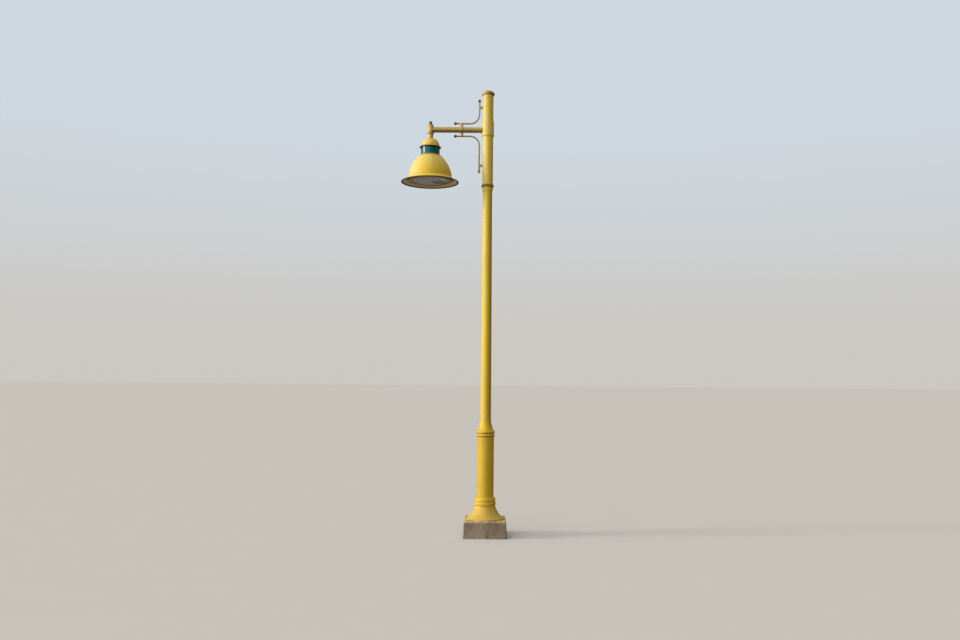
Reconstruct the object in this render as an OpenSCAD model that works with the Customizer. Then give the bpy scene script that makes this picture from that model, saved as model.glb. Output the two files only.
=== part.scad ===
// Park lamp post: a round steel post on a concrete footing, with a bell shaded
// lamp hung from a side arm. The origin is on the ground at the post's axis,
// +Z is up and the arm reaches towards -X.

/* [Footing] */
// Width of the concrete block at the ground
footing_w = 486; // [440:2:600]
// How much narrower the block is at its top
footing_batter = 20; // [0:2:36]
// Height of the block above the ground
footing_h = 184; // [120:4:300]
// Chamfer along the block's upper edges
footing_chamfer = 12; // [4:1:20]
// Bore of the cable duct through the block
duct_d = 60; // [40:2:90]

/* [Base casting] */
// Diameter of the flange that stands on the footing
flange_d = 416; // [380:2:430]
// Thickness of the flange's edge
flange_t = 14; // [10:1:24]
// Height of the trumpet flare above the flange
flare_h = 134; // [100:2:180]
// Diameter at the top of the trumpet flare
flare_top_d = 228; // [214:1:240]
// Wall of the casting
casting_wall = 9; // [6:1:12]
// Height of each of the two rings above the flare
base_ring_h = 44; // [24:1:50]
// Outer diameter of the lower ring
base_ring_d = 240; // [232:1:252]
// Depth of the socket that holds the pedestal
base_socket = 56; // [30:1:70]

/* [Pedestal] */
// Outer diameter of the pedestal tube
pedestal_d = 190; // [180:1:196]
// Length of the pedestal that shows between its castings
pedestal_h = 671; // [500:5:900]
// Wall of the pedestal tube
pedestal_wall = 6; // [4:1:9]
// Height of the hand hole's middle above the casting
hand_hole_up = 314; // [220:5:420]
// Width of the hand hole
hand_hole_w = 92; // [70:1:110]
// Height of the hand hole
hand_hole_h = 220; // [150:5:300]
// Corner radius of the hand hole
hand_hole_r = 18; // [8:1:30]
// How far the cover laps over the hole's edge
cover_lap = 12; // [6:1:16]
// Thickness of the cover
cover_t = 3; // [2:0.5:5]

/* [Pedestal cap] */
// Outer diameter of the cap's two rings
cap_ring_d = 209; // [202:1:225]
// Height of each ring
cap_ring_h = 27; // [20:1:36]
// Groove between the rings
cap_groove_h = 10; // [4:1:16]
// Diameter of the shoulder where it leaves the rings
shoulder_d = 188; // [176:1:190]
// Height of the bell shaped shoulder
shoulder_h = 112; // [70:1:140]
// How deep the cap's spigot stands in the pedestal
spigot_h = 40; // [20:1:60]
// Depth of the shaft's socket below the shoulder's top
shaft_socket = 120; // [80:1:150]

/* [Shaft] */
// Outer diameter of the tapered shaft where it leaves the cap
shaft_low_d = 120.5; // [112:0.5:128]
// Outer diameter of the shaft where it enters its collar
shaft_high_d = 106; // [98:0.5:111]
// Length of the shaft that shows
shaft_h = 2602; // [1800:10:3200]
// Wall of the shaft
shaft_wall = 4; // [3:0.5:6]

/* [Shaft collar] */
// Height of the funnel below the collar's ring
funnel_h = 48; // [48:1:120]
// Height of the collar's ring
collar_ring_h = 32; // [20:1:36]
// Outer diameter of the collar's ring
collar_ring_d = 143; // [138:1:156]
// How deep the shaft stands in the funnel
funnel_socket = 40; // [25:1:45]

/* [Sleeve] */
// Outer diameter of the upper tube
sleeve_d = 121; // [117:0.5:124]
// Length of the upper tube that shows
sleeve_h = 1045; // [850:5:1300]
// Wall of the upper tube
sleeve_wall = 4.5; // [3:0.5:6]
// How deep the tube stands in the shaft collar
sleeve_socket = 24; // [15:1:30]
// Outer diameter of the post cap
post_cap_d = 148; // [142:1:160]
// Height of the post cap's straight rim
post_cap_rim_h = 22; // [16:1:28]
// Height of the post cap's dome
post_cap_dome_h = 28; // [15:1:40]

/* [Arm] */
// Height of the arm's axis above the shaft collar
arm_up = 637; // [520:1:700]
// Distance from the post's axis to the lamp's axis
reach = 660; // [600:5:800]
// Outer diameter of the arm
arm_d = 64; // [58:1:68]
// Wall of the arm
arm_wall = 4; // [3:0.5:6]
// Outer diameter of the collar that carries the arm
arm_collar_d = 135; // [131:1:142]
// Height of the collar that carries the arm
arm_collar_h = 171; // [140:1:200]
// How far the collar reaches below the arm's axis
arm_collar_low = 74; // [60:1:90]
// Height of the band at the collar's foot
arm_collar_band_h = 10; // [6:1:16]

/* [Scroll rods] */
// Diameter of the two bent rods
rod_d = 19; // [14:1:24]
// Distance of each rod's level part from the arm's axis
rod_off = 74; // [66:1:90]
// Distance of each rod's upright part from the post's axis
rod_x = 99; // [92:1:120]
// Distance of the rods' level ends from the post's axis
rod_reach = 376; // [350:2:450]
// Bend radius of the rods
bend_r = 107; // [60:1:120]
// Height of the upper rod's tip above the arm's axis
upper_tip = 341; // [310:1:370]
// Depth of the lower rod's tip below the arm's axis
lower_tip = 484; // [400:2:560]
// Diameter of the balls on the rods' ends
ball_d = 33; // [28:1:40]
// Distance of the hub on the arm from the post's axis
hub_x = 302; // [270:1:330]
// Outer diameter of the hub's ring round the arm
hub_d = 76; // [74:1:84]
// Width of the hub's ring
hub_w = 42; // [34:1:46]
// Waist of the stubs on the hub
hub_stub_d = 34; // [24:1:38]
// Waist of the two stand-offs on the post
stand_off_d = 34; // [24:1:38]
// Height of the upper stand-off above the arm's axis
upper_stand_off_up = 265; // [230:1:290]
// Depth of the lower stand-off below the arm's axis
lower_stand_off_down = 414; // [300:2:440]

/* [Barrel and stem] */
// Diameter of the upright barrel at the arm's end
barrel_d = 69; // [69:1:80]
// Height of the barrel above the arm's axis
barrel_up = 36; // [36:1:60]
// Depth of the barrel below the arm's axis
barrel_down = 48; // [46:1:70]
// Height of the barrel's domed top
barrel_dome_h = 30; // [24:1:50]
// Diameter of the band at the barrel's foot
barrel_band_d = 79; // [74:1:90]
// Height of the band at the barrel's foot
barrel_band_h = 14; // [10:1:15]
// Diameter of the knob on the barrel
knob_d = 38; // [24:1:42]
// Diameter of the stem
stem_d = 58; // [50:1:62]
// Length of the stem that shows
stem_h = 56; // [30:1:80]

/* [Dome cap and neck] */
// Diameter of the dome above its brim
dome_d = 210; // [196:1:216]
// Height of the dome above its brim
dome_h = 102; // [80:1:130]
// Diameter of the dome's brim
brim_d = 248; // [236:1:260]
// Depth of the brim's edge
brim_h = 12; // [8:1:16]
// Wall of the dome
dome_wall = 4; // [3:0.5:6]
// Diameter of the green neck band
neck_d = 216; // [200:1:216]
// Height of the neck band
neck_h = 90; // [60:1:100]
// Wall and floor of the neck band
neck_wall = 4; // [3:0.5:6]

/* [Shade] */
// Diameter of the shade's flat top
shade_top_d = 226; // [218:1:240]
// Largest diameter of the bell above its flare
bell_d = 494; // [470:2:520]
// Height that the bell's curve would reach on the axis
bell_rise = 292; // [270:1:340]
// Roundness of the bell, 2 for an ellipse
bell_power = 1.7; // [1.6:0.05:1.9]
// Diameter of the shade's rim
rim_d = 660; // [630:5:700]
// Height of the flare between the bell and the rim
rim_flare_h = 68; // [60:1:90]
// Roundness of the flares, 2 for an ellipse
flare_power = 1.4; // [1.25:0.05:1.6]
// Wall of the spun shade
shade_wall = 2.5; // [1.5:0.5:3]
// Radius of the rolled edge
rim_bead_r = 5; // [4:0.5:7]
// Radius of the raised beads round the bell
bead_r = 3; // [2:0.5:4]

/* [Reflector and lamp] */
// Diameter of the reflector's mouth
reflector_d = 456; // [440:2:466]
// Height that the reflector's curve would reach on the axis
reflector_rise = 243; // [225:1:250]
// Wall of the reflector
reflector_wall = 2; // [1:0.5:3]
// Height of the flanged ring at the reflector's foot
reflector_ring_h = 60; // [52:1:70]
// Outer diameter of the lamp socket
socket_d = 52; // [46:1:58]
// Length of the lamp socket
socket_h = 74; // [70:1:100]
// Diameter of the bulb's cap
bulb_cap_d = 39; // [36:0.5:41]
// Largest diameter of the bulb
bulb_d = 92; // [76:1:110]
// Length of the bulb's glass
bulb_h = 140; // [120:1:160]

/* [Lens door] */
// Diameter of the glass that shows
lens_d = 440; // [420:1:450]
// Thickness of the glass
lens_t = 5; // [4:0.5:8]
// How far the ring holds the glass at its edge
lens_bite = 17.5; // [8:0.5:18]
// Radial width of the door's ring
ring_w = 23.5; // [22:0.5:26]
// Height of the door's ring
ring_h = 26; // [22:0.5:30]
// Height of the seat ring above the shade's rim
seat_up = 45; // [42:1:50]
// Thickness of the seat ring
seat_t = 4; // [3:0.5:6]
// Thickness of the gasket under the seat ring
gasket_t = 3; // [2:0.5:4]
// Radial width of the gasket
gasket_w = 6.5; // [5:0.5:8]
// Distance of the hinge's axis outside the door's ring
hinge_out = 10; // [9.5:0.5:11]
// Height of the hinge's axis above the shade's rim
hinge_up = 24; // [22:0.5:28]
// Radius of the hinge's eyes
eye_r = 7; // [5.5:0.5:7.5]
// Diameter of the hinge pin
pin_d = 6; // [4:0.5:7]
// Width of the hinge's fixed eye
eye_w = 30; // [20:1:40]
// Width of each eye on the door
ear_w = 8; // [6:0.5:12]
// Diameter of the closing screw's shank
screw_d = 8; // [6:0.5:9]
// Diameter of the closing screw's knob
screw_knob_d = 14; // [12:1:15]

/* [Hidden] */
$fn = 96;

// Clearance round a tube or spigot in its socket
fit = 0.3;
// Gap at a welded or saddle joint
weld = 0.1;
// Running clearance round the hinge pin, in the radius
running = 0.05;
// Overshoot of a cut past the face that it opens
over = 1;
// Number of straight steps in a quarter curve
steps = 12;

YELLOW = [0.88, 0.71, 0.20];
GREEN = [0.05, 0.26, 0.25];
DARK = [0.25, 0.15, 0.17];
CONCRETE = [0.62, 0.56, 0.48];
ALUMINIUM = [0.80, 0.80, 0.80];

// Heights of the joints up the post
base_z = footing_h;
flare_top_z = base_z + flange_t + flare_h;
base_top_z = flare_top_z + 2 * base_ring_h + casting_wall / 2;
pedestal_top_z = base_top_z + pedestal_h;
shoulder_z = pedestal_top_z + 2 * cap_ring_h + cap_groove_h;
cap_top_z = shoulder_z + shoulder_h;
funnel_z = cap_top_z + shaft_h;
collar_top_z = funnel_z + funnel_h + collar_ring_h;
sleeve_z = collar_top_z - sleeve_socket;
sleeve_top_z = collar_top_z + sleeve_h;
arm_z = collar_top_z + arm_up;

// Heights of the joints down the lamp
band_z = arm_z - barrel_down;
dome_top_z = band_z - stem_h;
neck_top_z = dome_top_z - dome_h;
shade_top_z = neck_top_z - neck_h;
bell_end_a = acos(pow(shade_top_d / bell_d, bell_power / 2));
bell_end_h = bell_rise * pow(sin(bell_end_a), 2 / bell_power);
shade_lip = 2 * shade_wall;
rim_z = shade_top_z - shade_lip - bell_end_h - rim_flare_h - rim_bead_r;
bell_z = rim_z + rim_bead_r + rim_flare_h;
edge_z = rim_z + rim_bead_r;
edge_r = rim_d / 2 - rim_bead_r;

// Places round the lens door
seat_z = rim_z + seat_up;
reflector_z = seat_z + seat_t;
ring_r = lens_d / 2 + ring_w;
ring_wall = ring_w - lens_bite - fit;
ring_top_z = seat_z - gasket_t - fit;
ring_z = ring_top_z - ring_h;
lip_t = 3;
lug_h = 8;
glass_z = ring_z + lip_t + running;
hinge_z = rim_z + hinge_up;
hinge_r = ring_r + hinge_out;
screw_r = ring_r + screw_knob_d / 2 + over;
pin_r = pin_d / 2;

// Shaft radius at a height, along its taper
function shaft_r(z) = (shaft_low_d + (shaft_high_d - shaft_low_d) * (z - cap_top_z) / shaft_h) / 2;

// Points of a quarter curve, upright at p and level at q, from angle a0 to a1
function quarter(p, q, power, a0 = 0, a1 = 90) = [
    for (i = [0:steps]) let (a = a0 + (a1 - a0) * i / steps) [
        q[0] + (p[0] - q[0]) * pow(cos(a), 2 / power),
        p[1] + (q[1] - p[1]) * pow(sin(a), 2 / power)
    ]
];

function reversed(v) = [for (i = [len(v) - 1:-1:0]) v[i]];

// Points of a half round that bulges outwards from an upright line, going up
function bulge(r, z, w, h) = [
    for (i = [0:steps]) let (a = -90 + 180 * i / steps) [r + w * cos(a), z + h * sin(a)]
];

// Outer radius of the bell, and inner radius of the flare, at a height
function bell_r(z) = bell_d / 2 * pow(1 - pow((z - bell_z) / bell_rise, bell_power), 1 / bell_power);
function flare_r(z) = let (
    in = bell_d / 2 - shade_wall,
    low = edge_z - shade_wall / 2,
    s = (bell_z - z) / (bell_z - low)
) edge_r + (in - edge_r) * pow(1 - pow(s, flare_power), 1 / flare_power);

// A solid turned about the post's axis from an outline of [radius, height]
module turned(outline) {
    rotate_extrude() polygon(outline);
}

// The same about the lamp's axis
module lamp_turned(outline) {
    translate([-reach, 0, 0]) turned(outline);
}

module ring(r, z, minor) {
    translate([0, 0, z]) rotate_extrude() translate([r, 0]) circle(minor, $fn = 32);
}

module footing() {
    low = footing_w / 2;
    high = low - footing_batter / 2;
    c = footing_chamfer;
    outline = [[-low, 0], [low, 0], [high, footing_h - c], [high - c, footing_h], [c - high, footing_h],
        [-high, footing_h - c]];
    color(CONCRETE) difference() {
        intersection() {
            rotate([90, 0, 0]) linear_extrude(footing_w, center = true) polygon(outline);
            rotate([90, 0, 90]) linear_extrude(footing_w, center = true) polygon(outline);
        }
        translate([0, 0, -over]) cylinder(d = duct_d, h = footing_h + 2 * over);
    }
}

// Trumpet foot with two rings, hollow, and a socket for the pedestal
module base_casting() {
    r = flange_d / 2;
    top_r = flare_top_d / 2;
    w = casting_wall;
    socket_r = pedestal_d / 2 + fit;
    ledge_r = socket_r - w;
    ring_out = base_ring_d / 2 - top_r + w / 2;
    set_back = 4;
    ring_1 = flare_top_z + base_ring_h / 2;
    ring_2 = ring_1 + base_ring_h;
    chamfer = flange_t / 4;
    flare = quarter([top_r, flare_top_z], [r - chamfer, base_z + flange_t], flare_power);
    inner = quarter([top_r - w, flare_top_z], [r - chamfer, base_z + flange_t - w], flare_power, 0, 60);
    color(YELLOW) turned(concat(
        [[r, base_z], [r, base_z + flange_t - chamfer]],
        reversed(flare),
        bulge(top_r - w / 2, ring_1, ring_out, base_ring_h / 2),
        bulge(top_r - w / 2, ring_2, ring_out - set_back, base_ring_h / 2),
        [[socket_r + w / 2, base_top_z], [socket_r, base_top_z], [socket_r, base_top_z - base_socket],
            [ledge_r, base_top_z - base_socket], [ledge_r, base_top_z - base_socket - w]],
        inner,
        [[inner[steps][0], base_z]]
    ));
}

// Rounded outline of the hand hole, grown by a lap
module hand_hole_outline(lap) {
    r = hand_hole_r + lap;
    w = hand_hole_w / 2 + lap - r;
    h = hand_hole_h / 2 + lap - r;
    square([2 * w, 2 * (h + r)], center = true);
    square([2 * (w + r), 2 * h], center = true);
    for (x = [-w, w], y = [-h, h]) translate([x, y]) circle(r);
}

// The outline pushed through the rear wall of the pedestal
module hand_hole_block(lap) {
    translate([0, 0, base_top_z + hand_hole_up]) rotate([90, 0, 180])
        linear_extrude(pedestal_d) hand_hole_outline(lap);
}

module pedestal() {
    z = base_top_z - base_socket;
    color(YELLOW) difference() {
        translate([0, 0, z]) cylinder(d = pedestal_d, h = pedestal_top_z - z);
        translate([0, 0, z - over])
            cylinder(d = pedestal_d - 2 * pedestal_wall, h = pedestal_top_z - z + 2 * over);
        hand_hole_block(0);
    }
}

module hand_hole_cover() {
    r = pedestal_d / 2 + weld;
    color(YELLOW) intersection() {
        hand_hole_block(cover_lap);
        translate([0, 0, base_top_z]) difference() {
            cylinder(r = r + cover_t, h = pedestal_h);
            translate([0, 0, -over]) cylinder(r = r, h = pedestal_h + 2 * over);
        }
    }
}

// Two rings and a bell shaped shoulder, on a spigot, with a socket for the shaft
module pedestal_cap() {
    spigot_r = pedestal_d / 2 - pedestal_wall - fit;
    seat_z = cap_top_z - shaft_socket;
    socket_r = shaft_r(seat_z) + fit;
    land_r = pedestal_d / 2;
    ring_out = cap_ring_d / 2 - land_r;
    top_r = shaft_r(cap_top_z) + 1.5;
    ring_1 = pedestal_top_z + cap_ring_h / 2;
    ring_2 = ring_1 + cap_ring_h + cap_groove_h;
    ledge_r = socket_r - 2 * shaft_wall;
    shoulder = quarter([top_r, cap_top_z], [shoulder_d / 2 - 2, shoulder_z + shoulder_h / 16], flare_power);
    color(YELLOW) turned(concat(
        [[ledge_r, pedestal_top_z - spigot_h], [spigot_r, pedestal_top_z - spigot_h],
            [spigot_r, pedestal_top_z]],
        bulge(land_r, ring_1, ring_out, cap_ring_h / 2),
        bulge(land_r, ring_2, ring_out, cap_ring_h / 2),
        [[shoulder_d / 2, shoulder_z]],
        reversed(shoulder),
        [[socket_r, cap_top_z], [socket_r, seat_z], [ledge_r, seat_z]]
    ));
}

module shaft() {
    low = cap_top_z - shaft_socket;
    high = funnel_z + funnel_socket;
    color(YELLOW) difference() {
        translate([0, 0, low]) cylinder(r1 = shaft_r(low), r2 = shaft_r(high), h = high - low);
        translate([0, 0, low - over]) cylinder(
            r1 = shaft_r(low - over) - shaft_wall,
            r2 = shaft_r(high + over) - shaft_wall,
            h = high - low + 2 * over
        );
    }
}

// Funnel and ring that join the shaft to the wider tube above it
module shaft_collar() {
    low_r = shaft_r(funnel_z) + fit;
    seat = funnel_z + funnel_socket;
    ledge_r = shaft_r(seat) - 2 * shaft_wall;
    tube_r = sleeve_d / 2 + fit;
    neck_r = sleeve_d / 2 + 3;
    ring_z = collar_top_z - collar_ring_h / 2;
    color(YELLOW) turned(concat(
        [[low_r, funnel_z], [low_r + 1.5, funnel_z]],
        reversed(quarter([neck_r, funnel_z + funnel_h - 2], [low_r + 2, funnel_z + 2], flare_power)),
        bulge(neck_r, ring_z, collar_ring_d / 2 - neck_r, collar_ring_h / 2),
        [[tube_r, collar_top_z], [tube_r, sleeve_z], [ledge_r, sleeve_z], [ledge_r, seat], [low_r, seat]]
    ));
}

module sleeve() {
    h = sleeve_top_z + post_cap_rim_h - sleeve_wall - sleeve_z;
    color(YELLOW) translate([0, 0, sleeve_z]) difference() {
        cylinder(d = sleeve_d, h = h);
        translate([0, 0, -over]) cylinder(d = sleeve_d - 2 * sleeve_wall, h = h + 2 * over);
    }
}

module arm_collar() {
    low = arm_z - arm_collar_low;
    high = low + arm_collar_h;
    r = arm_collar_d / 2;
    bore = sleeve_d / 2 + weld;
    band = 2;
    c = 1.5;
    color(YELLOW) turned([
        [bore, low], [r + band - c, low], [r + band, low + c], [r + band, low + arm_collar_band_h - c],
        [r + band - c, low + arm_collar_band_h], [r, low + arm_collar_band_h], [r, high - 3 * c],
        [r - c, high], [bore, high]
    ]);
}

module post_cap() {
    r = post_cap_d / 2;
    z = sleeve_top_z;
    rim = post_cap_rim_h;
    tube_r = sleeve_d / 2 + fit;
    color(YELLOW) turned(concat(
        [[0, z + rim - sleeve_wall], [tube_r, z + rim - sleeve_wall], [tube_r, z]],
        bulge(r - 4, z + rim / 2, 4, rim / 2),
        quarter([r - 6, z + rim], [0, z + rim + post_cap_dome_h], 2)
    ));
}

module arm() {
    color(YELLOW) difference() {
        translate([-reach, 0, arm_z]) rotate([0, 90, 0]) difference() {
            cylinder(d = arm_d, h = reach);
            translate([0, 0, -over]) cylinder(d = arm_d - 2 * arm_wall, h = reach + 2 * over);
        }
        translate([0, 0, arm_z - arm_d]) cylinder(r = arm_collar_d / 2 + weld, h = 2 * arm_d);
        translate([-reach, 0, arm_z - arm_d]) cylinder(r = barrel_d / 2 + weld, h = 2 * arm_d);
    }
}

// Turned stub between a tube and a rod, along +Z from the tube's axis
module stub(from, to, waist_r) {
    lip = 3;
    translate([0, 0, from]) turned([
        [0, 0], [waist_r + lip, 0], [waist_r + lip, lip], [waist_r, 2 * lip],
        [waist_r, to - from - 2 * lip - rod_d / 4], [waist_r + lip / 2, to - from - lip - rod_d / 4],
        [waist_r + lip / 2, to - from], [0, to - from]
    ]);
}

// Ring round the arm with a stub up and a stub down to the two rods
module arm_hub() {
    chamfer = 4;
    r = hub_d / 2;
    w = hub_w / 2;
    color(YELLOW) translate([-hub_x, 0, arm_z]) difference() {
        union() {
            rotate([0, 90, 0]) turned([
                [0, -w], [r - chamfer, -w], [r, chamfer - w], [r, w - chamfer], [r - chamfer, w], [0, w]
            ]);
            for (side = [0, 180]) rotate([side, 0, 0]) stub(r - chamfer, rod_off, hub_stub_d / 2);
        }
        translate([-hub_w, 0, 0]) rotate([0, 90, 0]) cylinder(r = arm_d / 2 + weld, h = 2 * hub_w);
        for (z = [-rod_off, rod_off]) translate([-hub_w, 0, z])
            rotate([0, 90, 0]) cylinder(r = rod_d / 2 + weld, h = 2 * hub_w);
    }
}

// A rod that lies along the arm, bends and runs up to its tip
module bent_rod(tip) {
    sunk = ball_d / 4;
    bend_x = -rod_x - bend_r;
    bend_z = rod_off + bend_r;
    translate([sunk - rod_reach, 0, rod_off]) rotate([0, 90, 0])
        cylinder(d = rod_d, h = rod_reach - sunk + bend_x);
    translate([bend_x, 0, bend_z]) rotate([90, 0, 0]) rotate([0, 0, -90])
        rotate_extrude(angle = 90) translate([bend_r, 0]) circle(d = rod_d);
    translate([-rod_x, 0, bend_z]) cylinder(d = rod_d, h = tip - sunk - bend_z);
}

// A ball with a blind hole for the rod, which comes from +Z
module rod_ball() {
    color(DARK) difference() {
        sphere(d = ball_d);
        translate([0, 0, ball_d / 4]) cylinder(r = rod_d / 2 + weld, h = ball_d);
    }
}

module upper_rod() {
    color(YELLOW) translate([0, 0, arm_z]) bent_rod(upper_tip);
}

module lower_rod() {
    color(YELLOW) translate([0, 0, arm_z]) mirror([0, 0, 1]) bent_rod(lower_tip);
}

// Stub from the sleeve to the upright part of a rod
module stand_off(z) {
    color(YELLOW) translate([0, 0, arm_z + z]) difference() {
        rotate([0, -90, 0]) stub(0.8 * sleeve_d / 2, rod_x, stand_off_d / 2);
        translate([0, 0, -sleeve_d]) cylinder(r = sleeve_d / 2 + weld, h = 2 * sleeve_d);
        translate([-rod_x, 0, -sleeve_d]) cylinder(r = rod_d / 2 + weld, h = 2 * sleeve_d);
    }
}

module upper_stand_off() {
    stand_off(upper_stand_off_up);
}

module lower_stand_off() {
    stand_off(-lower_stand_off_down);
}

module upper_end_ball() {
    translate([-rod_reach, 0, arm_z + rod_off]) rotate([0, 90, 0]) rod_ball();
}

module lower_end_ball() {
    translate([-rod_reach, 0, arm_z - rod_off]) rotate([0, 90, 0]) rod_ball();
}

module upper_tip_ball() {
    translate([-rod_x, 0, arm_z + upper_tip]) rotate([180, 0, 0]) rod_ball();
}

module lower_tip_ball() {
    translate([-rod_x, 0, arm_z - lower_tip]) rod_ball();
}

// Upright barrel at the arm's end, with a band at its foot and a domed top
module barrel() {
    r = barrel_d / 2;
    top = arm_z + barrel_up;
    seat_r = knob_d / 3;
    band_top = band_z + barrel_band_h;
    c = 2;
    color(YELLOW) lamp_turned(concat(
        [[0, band_z], [barrel_band_d / 2 - c, band_z], [barrel_band_d / 2, band_z + c],
            [barrel_band_d / 2, band_top - c], [barrel_band_d / 2 - c, band_top], [r, band_top]],
        quarter([r, top], [seat_r, top + barrel_dome_h], 2),
        [[0, top + barrel_dome_h]]
    ));
}

// Dark knob, a ball with a flat that sits on the barrel
module barrel_knob() {
    r = knob_d / 2;
    flat = r * sqrt(1 - pow(2 / 3, 2));
    color(DARK) translate([-reach, 0, arm_z + barrel_up + barrel_dome_h + flat + weld]) difference() {
        sphere(r = r);
        translate([-r, -r, -flat - r]) cube([2 * r, 2 * r, r]);
    }
}

module stem() {
    color(YELLOW) translate([-reach, 0, dome_top_z]) cylinder(d = stem_d, h = stem_h);
}

// Domed top of the lamp, a shell with a brim that shades the neck
module dome_cap() {
    r = dome_d / 2;
    brim = brim_d / 2;
    w = dome_wall;
    z = neck_top_z;
    flat_r = stem_d / 2 + w;
    end = acos(flat_r / r);
    rise = (dome_h - brim_h) / sin(end);
    color(YELLOW) lamp_turned(concat(
        [[neck_d / 2 - 2 * w, z], [brim - 2 * w, z], [brim - w, z - brim_h / 2], [brim, z - brim_h / 2]],
        [[brim, z], [brim - w, z + w], [r + 2 * w, z + 2 * w], [r + w, z + brim_h - 1]],
        quarter([r, z + brim_h], [0, z + brim_h + rise], 2, 0, end),
        [[0, z + dome_h], [0, z + dome_h - w]],
        reversed(quarter([r - w, z + brim_h], [0, z + brim_h + rise - w], 2, 0, end)),
        [[neck_d / 2 - 2 * w, z + brim_h]]
    ));
}

// Painted band under the dome, with a floor that carries the lamp socket
module neck_band() {
    r = neck_d / 2;
    w = neck_wall;
    color(GREEN) lamp_turned([
        [0, shade_top_z], [r, shade_top_z], [r, neck_top_z], [r - w, neck_top_z],
        [r - w, shade_top_z + w], [0, shade_top_z + w]
    ]);
}

// Spun bell with a flared rim, a rolled edge and three raised beads
module shade() {
    t = shade_wall;
    r = bell_d / 2;
    top_r = shade_top_d / 2;
    hole_r = socket_d / 2 + 8;
    // Beads round the bell: height above the flare, as a share of the bell's curve
    beads = [0, 0.085, 0.905];
    color(YELLOW) translate([-reach, 0, 0]) {
        turned(concat(
            reversed(quarter([r, bell_z], [edge_r, edge_z + t / 2], flare_power)),
            quarter([r, bell_z], [0, bell_z + bell_rise], bell_power, 0, bell_end_a),
            [[top_r, shade_top_z], [hole_r, shade_top_z], [hole_r, shade_top_z - t],
                [top_r - t, shade_top_z - t]],
            reversed(quarter([r - t, bell_z], [0, bell_z + bell_rise - t], bell_power, 0, bell_end_a)),
            quarter([r - t, bell_z], [edge_r, edge_z - t / 2], flare_power)
        ));
        ring(edge_r, edge_z, rim_bead_r);
        for (share = beads) {
            z = bell_z + share * bell_end_h;
            ring(bell_r(z) - t / 2, z, bead_r);
        }
    }
}

// Dome of the reflector, from its foot ring up to the lamp socket
module reflector() {
    r = reflector_d / 2;
    w = reflector_wall;
    rise = reflector_rise - w;
    hole_r = socket_d / 2 + fit;
    end = acos(hole_r / r);
    low = asin((reflector_ring_h + weld - w) / rise);
    low_in = asin((reflector_ring_h + weld) / rise);
    color(ALUMINIUM) translate([0, 0, reflector_z]) lamp_turned(concat(
        quarter([r, w], [0, w + rise], 2, low, end),
        reversed(quarter([r - w, 0], [0, rise], 2, low_in, acos(hole_r / (r - w))))
    ));
}

// Flanged ring that stands on the seat ring and carries the reflector's dome
module reflector_ring() {
    r = reflector_d / 2;
    w = reflector_wall;
    rise = reflector_rise - w;
    high = asin((reflector_ring_h - w) / rise);
    high_in = asin(reflector_ring_h / rise);
    color(ALUMINIUM) translate([0, 0, reflector_z]) lamp_turned(concat(
        [[r + 5 * w, 0], [r + 5 * w, w]],
        quarter([r, w], [0, w + rise], 2, 0, high),
        reversed(quarter([r - w, 0], [0, rise], 2, 0, high_in))
    ));
}

// Ring inside the flare that carries the reflector, the gasket and the hinge
module seat_ring() {
    color(YELLOW) difference() {
        translate([-reach, 0, seat_z]) difference() {
            cylinder(r = flare_r(seat_z + seat_t) - fit, h = seat_t);
            translate([0, 0, -over])
                cylinder(r = reflector_d / 2 - 2 * reflector_wall, h = seat_t + 2 * over);
        }
        translate([-reach - screw_r, 0, seat_z - over]) cylinder(r = screw_d / 2 + 1, h = seat_t + 2 * over);
    }
}

module gasket() {
    color([0.2, 0.2, 0.2]) translate([-reach, 0, seat_z - gasket_t]) difference() {
        cylinder(r = ring_r - gasket_w / 2, h = gasket_t);
        translate([0, 0, -over]) cylinder(r = ring_r - 1.5 * gasket_w, h = gasket_t + 2 * over);
    }
}

module lamp_socket() {
    depth = socket_h / 2;
    bore = bulb_cap_d / 2 + fit;
    z = shade_top_z - socket_h;
    color("ivory") translate([-reach, 0, z]) difference() {
        cylinder(d = socket_d, h = socket_h);
        translate([0, 0, -over]) cylinder(r = bore, h = depth + over);
    }
}

// Bulb: a cap in the socket and an egg shaped glass below it
module lamp_bulb() {
    cap_top = shade_top_z - socket_h / 2;
    z = shade_top_z - socket_h - 4;
    r = bulb_d / 2;
    wide = 0.62 * bulb_h;
    neck = bulb_cap_d / 2 - 2;
    side = [for (i = [0:steps]) let (s = i / steps) [
        neck + (r - neck) * (1 - cos(180 * s)) / 2,
        z - wide * s
    ]];
    color("ivory") lamp_turned(concat(
        [[0, cap_top], [bulb_cap_d / 2, cap_top], [bulb_cap_d / 2, z], [neck, z]],
        side,
        quarter([r, z - wide], [0, z - bulb_h], 2)
    ));
}

module y_cylinder(r, y0, y1) {
    translate([0, y1, 0]) rotate([90, 0, 0]) cylinder(r = r, h = y1 - y0);
}

module hinge_bracket() {
    w = eye_w / 2;
    t = 0.6 * eye_r;
    color(YELLOW) translate([hinge_r - reach, 0, hinge_z]) difference() {
        union() {
            y_cylinder(eye_r, -w, w);
            translate([-t, -w, 0]) cube([2 * t, eye_w, seat_z - hinge_z]);
        }
        y_cylinder(pin_r + running, -w - over, w + over);
    }
}

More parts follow.
